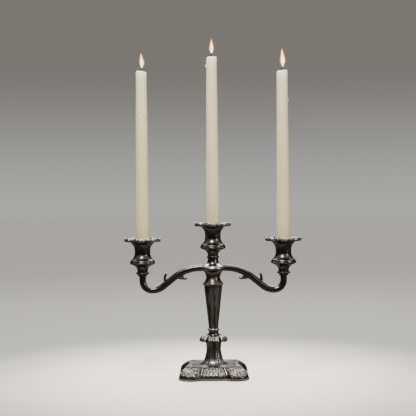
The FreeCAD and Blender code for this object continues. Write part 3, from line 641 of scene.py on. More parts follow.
def side_pattern(along, up):
    """The middle of a straight side: a rosette, sprays of leaves and small flowers."""
    far = np.abs(along)
    stamps = (
        flower_stamp(along, up, (0.0, 13.6), 3.6, 6),
        leaf_stamp(far, up, (3.4, 14.6), 0.45, 6.2, 2.6),
        leaf_stamp(far, up, (3.6, 12.2), -0.35, 5.6, 2.4),
        flower_stamp(far, up, (10.6, 13.2), 2.6, 5, 0.3),
        flower_stamp(far, up, (15.4, 16.0), 2.1, 5, 0.9),
        flower_stamp(far, up, (6.4, 18.6), 2.2, 5, 0.5),
        scroll_stamp(far, up, (12.6, 18.8), 2.2, 1.0, 0.8, 0.6),
        scroll_stamp(far, up, (15.6, 10.8), 2.0, -1.0, 0.2, 0.6),
        leaf_stamp(far, up, (0.4, 8.2), 0.05, 7.0, 2.3),
        leaf_stamp(far, up, (8.2, 8.6), 0.30, 5.2, 2.1),
        leaf_stamp(far, up, (0.8, 17.8), 1.15, 4.6, 2.0),
        leaf_stamp(far, up, (9.0, 16.0), 0.7, 3.8, 1.8),
        leaf_stamp(far, up, (17.6, 12.4), 1.5, 4.6, 1.9),
        leaf_stamp(far, up, (9.4, 21.2), 0.15, 4.4, 1.7),
        flower_stamp(far, up, (0.0, 5.2), 1.9, 5),
        leaf_stamp(far, up, (2.4, 5.4), 0.1, 5.4, 2.2),
        flower_stamp(far, up, (9.8, 5.4), 1.8, 5, 0.4),
        leaf_stamp(far, up, (12.2, 5.6), 0.1, 5.6, 2.2),
    )
    return np.maximum.reduce(stamps)


print("height at the middle of a side's rosette:", round(side_pattern(0.0, 13.6), 2))

# %% The pattern of a corner


def corner_pattern(along, up):
    """A corner lobe: a shell in a frame of scrolls, with flowers and leaves beside it."""
    far = np.abs(along)
    shell = np.hypot(far / 4.6, (up - 15.0) / 3.6)
    ribs = 0.7 + 0.3 * np.cos(16.0 * np.arctan2(far, up - 10.6))
    frame_line = 0.9 * hill(shell, 1.16, 0.12)
    stamps = (
        np.sqrt(np.clip(1.0 - shell**2, 0.0, 1.0)) * ribs,
        frame_line,
        flower_stamp(far, up, (8.8, 14.6), 2.8, 5),
        flower_stamp(far, up, (15.2, 13.4), 2.5, 5, 0.5),
        flower_stamp(far, up, (21.4, 12.2), 2.4, 5, 0.2),
        flower_stamp(far, up, (12.2, 19.0), 2.2, 5, 0.7),
        leaf_stamp(far, up, (1.2, 9.6), -0.1, 6.8, 2.3),
        leaf_stamp(far, up, (9.2, 9.2), 0.25, 5.6, 2.2),
        leaf_stamp(far, up, (10.8, 16.6), 0.5, 4.6, 2.0),
        leaf_stamp(far, up, (17.6, 16.4), 0.35, 5.4, 2.1),
        leaf_stamp(far, up, (4.6, 18.8), 0.15, 5.2, 2.0),
        leaf_stamp(far, up, (24.4, 10.0), 1.2, 5.0, 2.0),
        flower_stamp(far, up, (0.0, 5.6), 2.0, 5),
        leaf_stamp(far, up, (2.6, 5.6), 0.1, 5.6, 2.2),
        flower_stamp(far, up, (10.4, 5.6), 1.9, 5, 0.4),
        leaf_stamp(far, up, (13.0, 5.6), 0.1, 5.6, 2.2),
        flower_stamp(far, up, (21.0, 5.8), 1.8, 5, 0.2),
        scroll_stamp(far, up, (16.6, 8.8), 2.0, -1.0, 0.4, 0.6),
        scroll_stamp(far, up, (18.4, 20.2), 2.0, 1.0, 1.8, 0.6),
        scroll_stamp(far, up, (3.0, 21.8), 1.9, 1.0, 2.6, 0.6),
        scroll_stamp(far, up, (25.6, 17.4), 2.0, -1.0, 0.9, 0.6),
    )
    return np.maximum.reduce(stamps)


print("height at the middle of a corner's shell:", round(corner_pattern(0.0, 15.0), 2))

# %% Seeds between the stamps
SIDE_SEEDS, CORNER_SEEDS = 90, 120
SEED_REACH, SEED_LOW, SEED_HIGH = 27.0, 2.5, 23.0


def seed_pattern(along, up, seed, count):
    """Small leaves and beads strewn over the ground between the larger stamps."""
    scatter = np.random.default_rng(seed)
    height = np.zeros_like(along)
    for number in range(count):
        spot = (scatter.uniform(-SEED_REACH, SEED_REACH), scatter.uniform(SEED_LOW, SEED_HIGH))
        if number % 3:
            turn = scatter.uniform(0.0, math.pi)
            stamp = leaf_stamp(along, up, spot, turn, scatter.uniform(2.4, 3.6), 1.3, 2)
        else:
            stamp = bead_stamp(along, up, spot, scatter.uniform(0.5, 0.9))
        height = np.maximum(height, stamp)
    return height


print("seeds on each side and on each corner:", SIDE_SEEDS, CORNER_SEEDS)

# %% [markdown]
# ### The profile
# The profile has two stretches: the raised seat with the dished panels round it, and the
# broad dome that swells out from the crest and falls steeply to the rim.  The notches of
# the plan fade out towards the crest, and ridges run on from them to the foot.

# %% Sweep the profile round the plan
PANEL_ROWS, DOME_ROWS = 20, 70
CREST_INSET, CREST_LEVEL, CREST_SOFTENING = 15.0, 18.9, 70
DISH_LEVEL, DISH_EDGE = 16.9, 0.35
SEAT_SLOPE, SEAT_POWER = 4.0, 1.3
DOME_POWER, ROW_POWER, NOTCH_POWER = 2.3, 1.25, 1.5
COVE_DEPTH, COVE_HEIGHT = 0.8, 0.9
END_GAP, SKIN_DEPTH = 0.02, 0.25


def panel_row(share, edge):
    """Radii and levels at a share of the way from the seat to the crest."""
    radii = seat_radius + (edge - seat_radius) * share
    fall = np.exp(-(((radii - seat_radius) / SEAT_SLOPE) ** SEAT_POWER))
    rise = (shell_high - DISH_LEVEL) * fall
    border = (CREST_LEVEL - DISH_LEVEL) * smooth_step(DISH_EDGE, 1.0, share)
    return radii, DISH_LEVEL + rise + border


def dome_row(share, crest_plan):
    """Radii and levels at a share of the way from the crest to the rim."""
    bottom = shell_low + END_GAP
    level = bottom + (CREST_LEVEL - bottom) * math.cos(math.pi / 2.0 * share**ROW_POWER)
    level = max(level, bottom)
    inset = CREST_INSET * (level / CREST_LEVEL) ** DOME_POWER
    cove = COVE_DEPTH * math.exp(-(((level - bottom) / COVE_HEIGHT) ** 2))
    outer = plan + (crest_plan - plan) * (inset / CREST_INSET) ** NOTCH_POWER
    return outer - inset - cove - SKIN_DEPTH, level + 0.0 * plan


def base_rows():
    """The undecorated surface, as one array of radii and one of levels."""
    crest_plan = soften(plan, CREST_SOFTENING)
    edge = crest_plan - CREST_INSET
    rows = [panel_row(share, edge) for share in np.linspace(0.0, 1.0, PANEL_ROWS, endpoint=False)]
    rows += [dome_row(share, crest_plan) for share in np.linspace(0.0, 1.0, DOME_ROWS)]
    return np.array([radii for radii, _ in rows]), np.array([levels for _, levels in rows])


base_radii, base_levels = base_rows()
print("base skin rows and columns:", base_radii.shape)

# %% [markdown]
# ### The relief of the base
# The stamps need to know how far each point lies from the rim over the surface, which is
# what a strip of paper laid on the real base would measure.  Beside the height, each
# point gets its shine: high on crests, low in the outlines round them, a little higher
# down the wall as painted light, and black at the very foot of the wall as a painted
# shade line in the cove above the rim.

# %% Emboss and add the base cover
RIDGE_TURN = math.radians(22.5)
CORNER_HALF_LENGTH = 31.6
BORDER_REACH, BORDER_WAVE, BORDER_WAVES = 22.6, 1.2, 16.0
SEED_HEIGHT, BARE_GROUND = 0.6, 0.12
RIDGE_WIDTH, GROOVE_PLACE, GROOVE_HALF_WIDTH = 0.8, 1.5, 0.5
EMBOSS_HEIGHT = 0.85
GROUND_SHINE, LOW_WALL_PAINTED_LIGHT, CREST_SHINE = 0.26, 0.18, 0.74
OUTLINE_SHADE, GROOVE_SHADE = 0.22, 0.2


def climb_from_rim(radii, levels):
    """How far each point lies from the rim, measured over the surface."""
    steps = np.hypot(np.diff(radii, axis=0), np.diff(levels, axis=0))
    climb = np.zeros_like(radii)
    climb[:-1] = np.cumsum(steps[::-1], axis=0)[::-1]
    return climb


def stamped_pattern(radii, climb, on_side):
    """The sides' and the corners' stamps, and seeds on the ground between them."""
    corner_turn = angles % (math.pi / 2.0) - math.pi / 4.0
    side_along = plan * np.sin(side_turn(angles)) + 0.0 * radii
    corner_along = CORNER_HALF_LENGTH * corner_turn / RIDGE_TURN + 0.0 * radii
    along = np.where(on_side, side_along, corner_along)
    pattern = np.where(on_side, side_pattern(along, climb), corner_pattern(along, climb))
    side_seeds = seed_pattern(along, climb, seed=5, count=SIDE_SEEDS)
    corner_seeds = seed_pattern(along, climb, seed=9, count=CORNER_SEEDS)
    seeds = np.where(on_side, side_seeds, corner_seeds)
    return np.maximum(pattern, SEED_HEIGHT * seeds * (pattern < BARE_GROUND))


def base_relief(radii, climb):
    """The height of the embossing and its shine, both from 0 to 1: rubbed crests, painted light
    down the wall, painted shade at its foot.
    """
    quarter = side_turn(angles)
    from_ridge = np.abs(np.abs(quarter) - RIDGE_TURN) * radii
    edge = BORDER_REACH + BORDER_WAVE * np.cos(BORDER_WAVES * angles)
    fade = smooth_step(2.0, 3.2, climb) * (1.0 - smooth_step(edge - 1.4, edge, climb))
    pattern = stamped_pattern(radii, climb, np.abs(quarter) < RIDGE_TURN)
    pattern = pattern * fade * smooth_step(0.7, 1.8, from_ridge)
    ridge = hill(from_ridge, 0.0, RIDGE_WIDTH) * smooth_step(3.0, 6.0, climb)
    ridge = ridge * (0.5 + 0.5 * (1.0 - smooth_step(24.0, 30.0, climb)))
    border_line = 0.8 * hill(climb - edge, 0.6, 0.6)
    height = np.maximum.reduce((pattern, 0.8 * ridge, border_line))
    groove = hill(from_ridge, GROOVE_PLACE, GROOVE_HALF_WIDTH) * smooth_step(2.0, 4.0, climb)
    outline = hill(height, 0.10, 0.07) * fade
    low_down = 1.0 - smooth_step(7.0, 15.0, climb)
    # The low wall is painted lighter, as painted light.
    shine = GROUND_SHINE + LOW_WALL_PAINTED_LIGHT * low_down + CREST_SHINE * height**1.3
    shine = shine - OUTLINE_SHADE * outline - GROOVE_SHADE * groove
    # The shine falls to nothing at the foot of the wall: a painted shade line in the cove above
    # the rim.
    return height, np.clip(shine * smooth_step(0.3, 1.6, climb), 0.0, 1.0)


def make_base():
    """The embossed cover: each point of the plain skin moves out along its normal."""
    climb = climb_from_rim(base_radii, base_levels)
    height, shine = base_relief(base_radii, climb)
    spots = swept_round(base_radii, base_levels, angles)
    along_row = np.roll(spots, -1, axis=1) - np.roll(spots, 1, axis=1)
    normal = np.cross(np.gradient(spots, axis=0), along_row)
    normal /= np.linalg.norm(normal, axis=-1, keepdims=True)
    spots = spots + normal * (EMBOSS_HEIGHT * height)[..., None]
    piece = add_skin("base_cover", spots, "candlestick", stamped_plate, shine)
    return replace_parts(piece, "base_shell")


base_cover = make_base()
print("base cover:", len(base_cover.data.polygons), "faces")

# %% [markdown]
# ## The fluted foot
# The foot is a spun bell with eight panels chased into it: a wide one on each side and a
# narrow one at each corner, with grooves that run out before the band.  Eight cutters
# and a boolean would leave sharp edges that a chaser's hammer doesn't.  So the radius at
# each level comes from the CAD foot, and soft grooves are pressed into it.

# %% The foot
FOOT_ROWS, FOOT_STEPS = 72, 360
CHASED_TURN = math.radians(29.0)
CHASED_DEPTH, CHASED_WIDTH = 1.1, 0.75
LIP_HEIGHT, LIP_PLACE, LIP_WIDTH = 0.1, 1.9, 0.8
FLARE_REACH, FLARE_NOTCH, NOTCH_WIDTH = 0.5, 1.0, 1.5


def make_foot():
    """The bell of the CAD foot with its grooves, flared where it meets the base."""
    low, high = span("foot")
    levels = np.linspace(low + END_GAP, high - END_GAP, FOOT_ROWS)
    turns = full_turn(FOOT_STEPS)
    radii = turned_radii("foot", levels)[:, None] + 0.0 * turns
    climb = ((levels - low) / (high - low))[:, None]
    to_groove = np.abs(np.abs(side_turn(turns)) - CHASED_TURN) * radii
    fade = 1.0 - smooth_step(0.55, 0.9, climb)
    groove = hill(to_groove, 0.0, CHASED_WIDTH) * fade
    lip = hill(to_groove, LIP_PLACE, LIP_WIDTH) * fade
    radii = radii - CHASED_DEPTH * groove + LIP_HEIGHT * lip - SKIN_DEPTH
    flare = 1.0 - smooth_step(0.0, 0.10, climb)
    radii = radii + flare * (FLARE_REACH - FLARE_NOTCH * hill(to_groove, 0.0, NOTCH_WIDTH))
    shine = 0.50 + 0.38 * (1.0 - smooth_step(0.05, 0.34, climb)) + 0.3 * lip
    shine = np.clip(shine * (1.0 - 0.95 * groove), 0.0, 1.0)
    grid = swept_round(radii, levels[:, None], turns)
    piece = add_skin("fluted_foot", grid, "candlestick", foot_plate, shine)
    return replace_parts(piece, "foot")


fluted_foot = make_foot()
print("fluted foot:", len(fluted_foot.data.polygons), "faces")

# %% [markdown]
# ## The petal collar
# A cast collar of eight petals hides the joint between the foot and the stem.  Each
# petal is arched, veined and turned down at its tip, wide over the sides of the base and
# narrow over its corners.  Single petals could be copied round the stem, but the casting
# is one piece with creases.  So its outline is a smooth curve through a few points, swept
# round, and the petals are folds in that surface.

# %% A smooth curve through points


def smooth_path(corners, count):
    """Points on a Catmull-Rom curve, which passes through all of its corners."""
    corners = np.asarray(corners, dtype=float)
    before = 2.0 * corners[:1] - corners[1:2]
    after = 2.0 * corners[-1:] - corners[-2:-1]
    held = np.concatenate((before, corners, after))
    place = np.linspace(0.0, len(corners) - 1.0, count)
    stretch = np.minimum(place.astype(int), len(corners) - 2)
    share = (place - stretch)[:, None]
    p0, p1, p2, p3 = (held[stretch + step] for step in range(4))
    line = 2.0 * p1 + (p2 - p0) * share
    bend = (2.0 * p0 - 5.0 * p1 + 4.0 * p2 - p3) * share**2
    twist = (3.0 * p1 - p0 - 3.0 * p2 + p3) * share**3
    return (line + bend + twist) / 2.0


print("a path through three corners:", smooth_path([(0, 0), (1, 1), (2, 0)], 5).tolist())

# %% The collar
WIDE_PETAL = math.radians(31.0)
COLLAR_ROWS, COLLAR_STEPS = 96, 432
TOP_ROWS, TIP_ROW, TIP_ROWS = 48, 46, 5.0
CREASE_DROP, CREASE_INSET = 1.5, 2.2
TIP_LIFT, TIP_REACH, VEIN_HEIGHT = 0.8, 0.5, 0.4


def petal_place(turns):
    """Across each petal, from -1 at one crease to 1 at the next, and which are wide."""
    side = side_turn(turns)
    corner = side_turn(turns + math.pi / 4.0)
    wide = np.abs(side) < WIDE_PETAL
    return np.where(wide, side / WIDE_PETAL, corner / (math.pi / 4.0 - WIDE_PETAL)), wide


def collar_outline():
    """From the stem over the top of a petal, round its tip and back underneath."""
    low, high = span("collar")
    rim = turned_radii("collar", [low + 3.0])[0]
    outline = [
        (9.0, high),
        (12.5, high - 0.4),
        (16.5, high - 1.9),
        (20.3, high - 4.6),
        (rim - 0.4, high - 7.8),
        (rim, low + 1.9),
        (rim - 0.9, low + 1.2),
        (19.6, low + 2.9),
        (15.0, low + 3.4),
        (13.2, low + 1.6),
        (13.1, low),
    ]
    return smooth_path(outline, COLLAR_ROWS)


def make_collar():
    """The swept outline, creased between the petals and veined along them."""
    path = collar_outline()
    turns = full_turn(COLLAR_STEPS)
    row = np.arange(COLLAR_ROWS)[:, None]
    outward = smooth_step(11.0, 21.5, path[:, :1])
    across, wide = petal_place(turns)
    crease = hill(1.0 - np.abs(across), 0.0, np.where(wide, 0.10, 0.22))
    tip = 1.0 - np.abs(across) ** 3.0
    veins = np.cos(np.where(wide, 9.0, 4.0) * math.pi * across)
    press = outward * np.where(row < TOP_ROWS, 1.0, 0.6)
    levels = path[:, 1:] - press * (CREASE_DROP * crease - TIP_LIFT * tip)
    levels = levels + VEIN_HEIGHT * press * veins * (1.0 - crease)
    radii = path[:, :1] - press * (CREASE_INSET * crease) + press * TIP_REACH * (tip - 0.6)
    shine = 0.42 + 0.38 * veins * outward + 0.3 * hill(row, TIP_ROW, TIP_ROWS)
    shine = np.clip(shine * (1.0 - 0.9 * crease * outward), 0.0, 1.0)
    # The underside of the petals is painted darker, as painted shade under the collar.
    shine = shine * np.where(row < TOP_ROWS, 1.0, 0.35)
    grid = swept_round(radii, levels, turns)
    piece = add_skin("petal_collar", grid, "candlestick", cast_plate, shine)
    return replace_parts(piece, "collar")


petal_collar = make_collar()
print("petal collar:", len(petal_collar.data.polygons), "faces")

# %% [markdown]
# ## The hub
# The hub is a low dome with a soft edge, so the light from above runs round it in one
# bright band.  The CAD hub has the right size but a plainer edge.  A bevel modifier
# could round it, but a few years of knocks have left shallow dents too, so the dome is
# swept from an outline and waved a little.

# %% The dome of the hub
HUB_ROWS, HUB_STEPS = 40, 192
HUB_SHINE = 0.75


def make_hub_dome():
    """A dome from the neck of the middle light to the top of the bell below."""
    low, high = span("hub")
    reach = turned_radii("hub", [low + 0.1])[0]
    outline = [
        (10.4, high),
        (13.0, high - 0.9),
        (16.2, high - 2.7),
        (18.8, high - 4.9),
        (reach, high - 7.2),
        (reach - 0.1, low + 1.2),
        (reach - 0.5, low),
    ]
    turns = full_turn(HUB_STEPS)
    path = smooth_path(outline, HUB_ROWS)
    dents = 0.12 * np.cos(5.0 * turns + 0.7) + 0.08 * np.cos(9.0 * turns)
    between_ends = np.sin(np.linspace(0.0, math.pi, HUB_ROWS))[:, None]
    grid = swept_round(path[:, :1], path[:, 1:] + dents * between_ends, turns)
    shine = np.full(grid.shape[:2], HUB_SHINE)
    piece = add_skin("hub_dome", grid, "branch", cast_plate, shine)
    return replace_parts(piece, "hub")


hub_dome = make_hub_dome()
print("hub dome:", len(hub_dome.data.polygons), "faces")

# %% [markdown]
# ## The leafy borders of the drip pans
# A wavy cast border is soldered round each pan: eight fluted shells with a scroll and a
# bud between each pair.  Modelling one shell and copying it would leave seams where the
# copies meet.  Here the border is one closed ring whose outline rolls over at the top and
# droops at its edge, the flutes are drawn on both of its faces, and its lip rises and
# falls with the shells.

# %% A border
SHELLS = 8
BORDER_ROWS, BORDER_STEPS = 56, 512
FACE_CLIMB = 11.0
LIP_SHARE, LIP_SPREAD = 0.45, 0.26
RELIEF_OUT, RELIEF_UP = 0.9, 0.8


def border_outline(reach, low, high):
    """From the pan up the inside, over the lip, down the front and back underneath."""
    outline = [
        (reach - 3.9, low + 3.0),
        (reach - 2.6, low + 5.3),
        (reach - 1.0, high - 0.3),
        (reach + 0.1, high - 1.6),
        (reach + 0.3, low + 3.2),
        (reach - 0.3, low + 1.4),
        (reach - 1.5, low + 0.4),
        (reach - 3.0, low + 1.2),
        (reach - 3.7, low + 2.2),
    ]
    return smooth_path(outline, BORDER_ROWS)


def border_relief(along, share, lobe):
    """Fluted shells where the lip swells, and scrolls and buds between them."""
    climb = FACE_CLIMB * share
    far = np.abs(along) + 0.0 * climb
    on_shell = smooth_step(-0.25, 0.2, lobe)
    fan = np.abs(np.cos(4.4 * np.arctan2(far, climb - 1.0)))
    shell = on_shell * (0.15 + 0.85 * fan)
    bud = flower_stamp(far, climb, (11.3, 5.4), 2.4, 5)
    bud = np.maximum(bud, flower_stamp(far, climb, (11.3, 2.8), 1.8, 4))
    scroll = scroll_stamp(far, climb, (7.6, 5.6), 2.2, 1.0, 0.5, 0.7)
    relief = np.maximum.reduce((shell, bud, 0.9 * scroll * (1.0 - on_shell)))
    return relief * smooth_step(0.03, 0.12, share) * (1.0 - smooth_step(0.8, 0.95, share))


def make_border(light):
    """The cast border of one drip pan."""
    node = f"nozzle_border_{light}"
    low, high = span(node)
    reach = turned_radii(node, [high - 0.4])[0] - 0.7
    path = border_outline(reach, low, high)
    turns = full_turn(BORDER_STEPS)
    share = np.arange(BORDER_ROWS)[:, None] / (BORDER_ROWS - 1.0)
    lobe = np.cos(SHELLS * turns)
    ripple = np.cos(3.0 * SHELLS * turns + 0.6)
    along = side_turn(turns * SHELLS / 4.0) * 4.0 / SHELLS * reach
    relief = border_relief(along, share, lobe)
    at_lip = hill(share, LIP_SHARE, LIP_SPREAD)
    front = smooth_step(0.3, 0.5, share)
    radii = path[:, :1] + at_lip * (0.8 * lobe + 0.25 * ripple)
    radii = radii + RELIEF_OUT * front * (relief - 0.5)
    levels = path[:, 1:] + at_lip * (0.55 * ripple - 0.55 * lobe)
    levels = levels + RELIEF_UP * (1.0 - front) * (relief - 0.5)
    grid = swept_round(radii, levels, turns, middle(node))
    shine = np.clip(relief * 1.1 + 0.2 * at_lip**4, 0.0, 1.0)
    name, body = f"leafy_border_{light}", f"nozzle_{light}"
    piece = add_skin(name, grid, body, cast_plate, shine)
    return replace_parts(piece, node)


borders = [make_border(light) for light in LIGHTS]
print("one border:", len(borders[0].data.polygons), "faces")

# %% [markdown]
# ## The little leaves on the arms
# Each arm carries two cast leaves: one stands on the straight run like a thorn, and one
# curls under the crest.  A bevelled curve would give them a round section.  They are an
# oval swept along a curve instead, thickest near the root, with a rib down the middle of
# each face.

# %% Sweep a leaf
LEAF_ROWS, LEAF_STEPS = 28, 24
RIB_HEIGHT = 0.18


def sweep_leaf(name, node, path, half_widths, half_depth):
    """An oval swept along a path in the plane of the arms, narrowing to its tip."""
    path = smooth_path(path, LEAF_ROWS)
    half = smooth_path(np.asarray(half_widths)[:, None], LEAF_ROWS)
    along = np.gradient(path, axis=0)
    along /= np.linalg.norm(along, axis=1, keepdims=True)
    side = np.stack((-along[:, 1], along[:, 0]), axis=1)
    turns = full_turn(LEAF_STEPS)
    rib = 1.0 + RIB_HEIGHT * np.cos(4.0 * turns)
    across = half * np.cos(turns) * rib
    deep = half_depth * np.sqrt(np.clip(half / half.max(), 0.0, 1.0)) * np.sin(turns) * rib
    x = path[:, :1] + side[:, :1] * across
    z = path[:, 1:] + side[:, 1:] * across
    shine = 0.15 + 0.25 * np.abs(np.cos(2.0 * turns)) + 0.0 * x
    grid = np.stack((x, deep, z), axis=-1)
    piece = add_skin(name, grid, "branch", cast_plate, shine)
    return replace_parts(piece, node)


print("points in one leaf:", LEAF_ROWS * LEAF_STEPS)

# %% The four leaves
THORN_HALF_WIDTHS, THORN_HALF_DEPTH = (2.6, 1.9, 1.8, 1.3, 0.05), 2.2
CURL_HALF_WIDTHS, CURL_HALF_DEPTH = (1.0, 2.6, 3.0, 1.7, 1.1, 0.9, 0.05), 2.4


def make_thorn(side, way):
    """The upper leaf; way is -1 on the left arm and 1 on the right."""
    node = f"leaf_upper_{side}"
    low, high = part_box(node)
    root = (low.x + high.x) / 2.0 / MM * way
    bottom, tip = low.z / MM + 1.0, high.z / MM
    stem = [
        (root + 0.3, bottom),
        (root + 0.9, bottom + 4.0),
        (root + 0.2, tip - 4.0),
        (root - 1.4, tip - 1.2),
        (root - 3.4, tip - 0.5),
    ]
    stem = [(x * way, z) for x, z in stem]
    return sweep_leaf(f"thorn_{side}", node, stem, THORN_HALF_WIDTHS, THORN_HALF_DEPTH)


def make_curl(side, way):
    """The lower leaf, which leaves the arm and curls back up at its tip."""
    node = f"leaf_lower_{side}"
    low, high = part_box(node)
    near, far = sorted((abs(low.x) / MM, abs(high.x) / MM))
    top = high.z / MM
    curl = [
        (far + 1.0, top + 0.4),
        (far - 4.0, top - 0.1),
        (far - 8.5, top - 0.3),
        (far - 11.5, top - 2.1),
        (near + 2.8, top - 2.5),
        (near + 0.9, top - 1.1),
        (near + 1.3, top + 0.4),
    ]
    curl = [(x * way, z) for x, z in curl]
    return sweep_leaf(f"curl_{side}", node, curl, CURL_HALF_WIDTHS, CURL_HALF_DEPTH)


leaves = []
for side, way in (("left", -1.0), ("right", 1.0)):
    leaves += [make_thorn(side, way), make_curl(side, way)]
print("leaves:", ", ".join(leaf.name for leaf in leaves))

# %% [markdown]
# ## Wax, wick and flame
# Wax is cloudy: light goes in and comes out a few millimetres away, which rounds the
# shading off.  That is subsurface scattering, and no paint can stand in for it.  The
# top glows faintly with a painted glow, as the flame shines down into it, and is painted
# paler and warmer there; the drops are painted pale and glowing too.
#
# A flame could be a volume, but a volume is slow and an exported model loses it.  Two
# thin shells of glowing surface do as well: a bright core, and a dull amber veil round
# it, both clear where they meet the wick.

# %% The wax
BLACK = (0.0, 0.0, 0.0, 1.0)
WAX = (0.64, 0.56, 0.315, 1.0)
FLAME_LIT_WAX = (0.765, 0.70, 0.445, 1.0)
SHADED_WAX = (0.45, 0.36, 0.20, 1.0)
PALE_GLOW_WAX = (0.90, 0.86, 0.76, 1.0)
FLAME_GLOW_WAX = (1.0, 0.80, 0.62, 1.0)
WAX_STRETCH, WAX_STREAKS, WAX_CLOUDS = (1.0, 1.0, 0.06), 420.0, 45.0


def wax_tone(tree, cloud, painted_glow):
    """Deep at the foot, painted lighter and warmer towards the top as flame light, a little
    cloudy, and painted pale on the top and the drops.
    """
    low, high = span("candle_wax_centre")
    climb = remap(tree, object_level(tree), low * MM, high * MM)
    # Lighter and warmer towards the top: painted flame light.
    tone = blend_colours(tree, climb, WAX, FLAME_LIT_WAX)
    darker = blend_colours(tree, 0.12, tone, SHADED_WAX)
    tone = blend_colours(tree, remap(tree, cloud, 0.35, 0.7), tone, darker)
    # Painted pale on the top and on the drops, along with the painted glow.
    return blend_colours(tree, painted_glow, tone, PALE_GLOW_WAX)


def make_wax():
    """Cloudy wax with faint streaks; the relief says where the painted glow and paleness go, on
    the top and on the drops.
    """
    material, tree, shader = new_material("ivory_wax")
    place = object_place(tree)
    cloud = noise(tree, place, WAX_CLOUDS, 4.0, 0.5)
    streak = noise(tree, stretched(tree, place, WAX_STRETCH), WAX_STREAKS, 3.0, 0.6)
    bump = add_node(tree, "ShaderNodeBump", {"Height": streak, "Strength": 0.2})
    bump.inputs["Distance"].default_value = 0.15 * MM
    painted_glow = stored_relief(tree)
    finish = {
        "Base Color": wax_tone(tree, cloud, painted_glow),
        "Roughness": maths(tree, "MULTIPLY_ADD", cloud, 0.15, 0.34),
        "Normal": bump.outputs["Normal"],
        # The top and the drops glow faintly: painted light from the flame.
        "Emission Color": blend_colours(tree, painted_glow, BLACK, FLAME_GLOW_WAX),
        "Emission Strength": 0.42,
        "Subsurface Weight": 0.5,
        "Subsurface Radius": (1.0, 0.75, 0.45),
        "Subsurface Scale": 4.0 * MM,
    }
    set_inputs(tree, shader, finish)
    return material


wax = make_wax()
print("wax material:", len(wax.node_tree.nodes), "nodes")

# %% The wick and the flame
CHAR, ASH = (0.006, 0.005, 0.005, 1.0), (0.03, 0.02, 0.017, 1.0)
EMBER = (0.55, 0.10, 0.03, 1.0)
YELLOW_WHITE, PALE_ROSE = (1.0, 0.82, 0.46, 1.0), (1.0, 0.62, 0.34, 1.0)
AMBER, DULL_AMBER = (1.0, 0.36, 0.08, 1.0), (0.8, 0.3, 0.12, 1.0)
TIP_STARTS = 0.86


def make_char():
    """Charred braid; the relief says where its end still glows."""
    material, tree, shader = new_material("charred_wick")
    weave = {"Vector": object_place(tree), "Scale": 900.0, "Distortion": 2.0}
    braid = add_node(tree, "ShaderNodeTexWave", weave).outputs["Fac"]
    finish = {
        "Base Color": blend_colours(tree, braid, CHAR, ASH),
        "Emission Color": blend_colours(tree, stored_relief(tree), BLACK, EMBER),
        "Emission Strength": 1.0,
        "Roughness": 0.9,
    }
    set_inputs(tree, shader, finish)
    return material


def make_flame_material(name, rises, colours, alphas, strength):
    """A glowing gas: clear round the wick, full in the body, thin at the tip."""
    material, tree, shader = new_material(name)
    share = stored_relief(tree)
    solid = remap(tree, share, *rises, alphas[0], alphas[1])
    thin = remap(tree, share, TIP_STARTS, 1.0, 1.0, alphas[2])
    finish = {
        "Base Color": BLACK,
        "Roughness": 1.0,
        "Specular IOR Level": 0.0,
        "Emission Color": blend_colours(tree, remap(tree, share, *rises), *colours),
        "Emission Strength": strength,
        "Alpha": maths(tree, "MULTIPLY", solid, thin),
    }
    set_inputs(tree, shader, finish)
    return material


char = make_char()
flame_core = make_flame_material(
    "flame_core", (0.12, 0.45), (PALE_ROSE, YELLOW_WHITE), (0.25, 1.0, 0.75), 7.0
)
flame_glow = make_flame_material(
    "flame_glow", (0.05, 0.40), (DULL_AMBER, AMBER), (0.05, 0.42, 0.15), 2.2
)
print("materials:", char.name, flame_core.name, flame_glow.name)

# %% [markdown]
# ## The candles
# The candles are dipped, so they taper and are never quite round.  They have burned a
# little, so the top is a soft rim round a pool, and drops have run down the sides and
# set.  A cloth or fluid simulation could slump the rim, but it would differ from run to
# run.  So each candle has its own small accidents, listed once: how its rim has slumped,
# which way its wick leans, how high its flame stands, and where its drops have set.

# %% One record for each candle


def set_drop(turn, down, size, track=0.0):
    """A drop at a turn in degrees, so far below the top, with a track above it if it ran."""
    return {"turn": math.radians(turn), "down": down, "size": size, "track": track}


CANDLES = {
    "left": {
        "slump_turn": 200.0,
        "slump": 0.9,
        "mound": -1.6,
        "lean": (2.6, 0.4),
        "flame_height": 32.3,
        "flame_half_width": 3.7,
        "drops": (
            set_drop(262.0, 76.0, 1.2),
            set_drop(285.0, 35.0, 0.8, track=9.0),
            set_drop(96.0, 53.0, 1.1, track=30.0),
        ),
    },
    "centre": {
        "slump_turn": 330.0,
        "slump": 0.5,
        "mound": 1.3,
        "lean": (0.2, 0.0),
        "flame_height": 32.0,
        "flame_half_width": 3.6,
        "drops": (
            set_drop(184.0, 15.0, 1.7),
            set_drop(196.0, 180.0, 1.2),
            set_drop(60.0, 48.0, 1.2, track=40.0),
        ),
    },
    "right": {
        "slump_turn": 20.0,
        "slump": 0.7,
        "mound": -1.4,
        "lean": (2.4, 0.3),
        "flame_height": 38.0,
        "flame_half_width": 4.1,
        "drops": (
            set_drop(352.0, 49.0, 1.3),
            set_drop(290.0, 14.0, 0.9),
            set_drop(130.0, 35.0, 1.2, track=25.0),
        ),
    },
}
print("drops set on the candles:", sum(len(facts["drops"]) for facts in CANDLES.values()))

# %% The wax body
WAX_ROWS, RIM_ROWS, POOL_ROWS, WAX_STEPS = 190, 10, 12, 128
CROWN_HEIGHT, RIM_RADIUS, RIM_BELOW_TOP = 3.2, 1.7, 0.6
GRIPPED_BELOW, FREE_ABOVE = 24.0, 50.0
GLOW_DEPTH, SLUMP_DEPTH = 24.0, 9.0


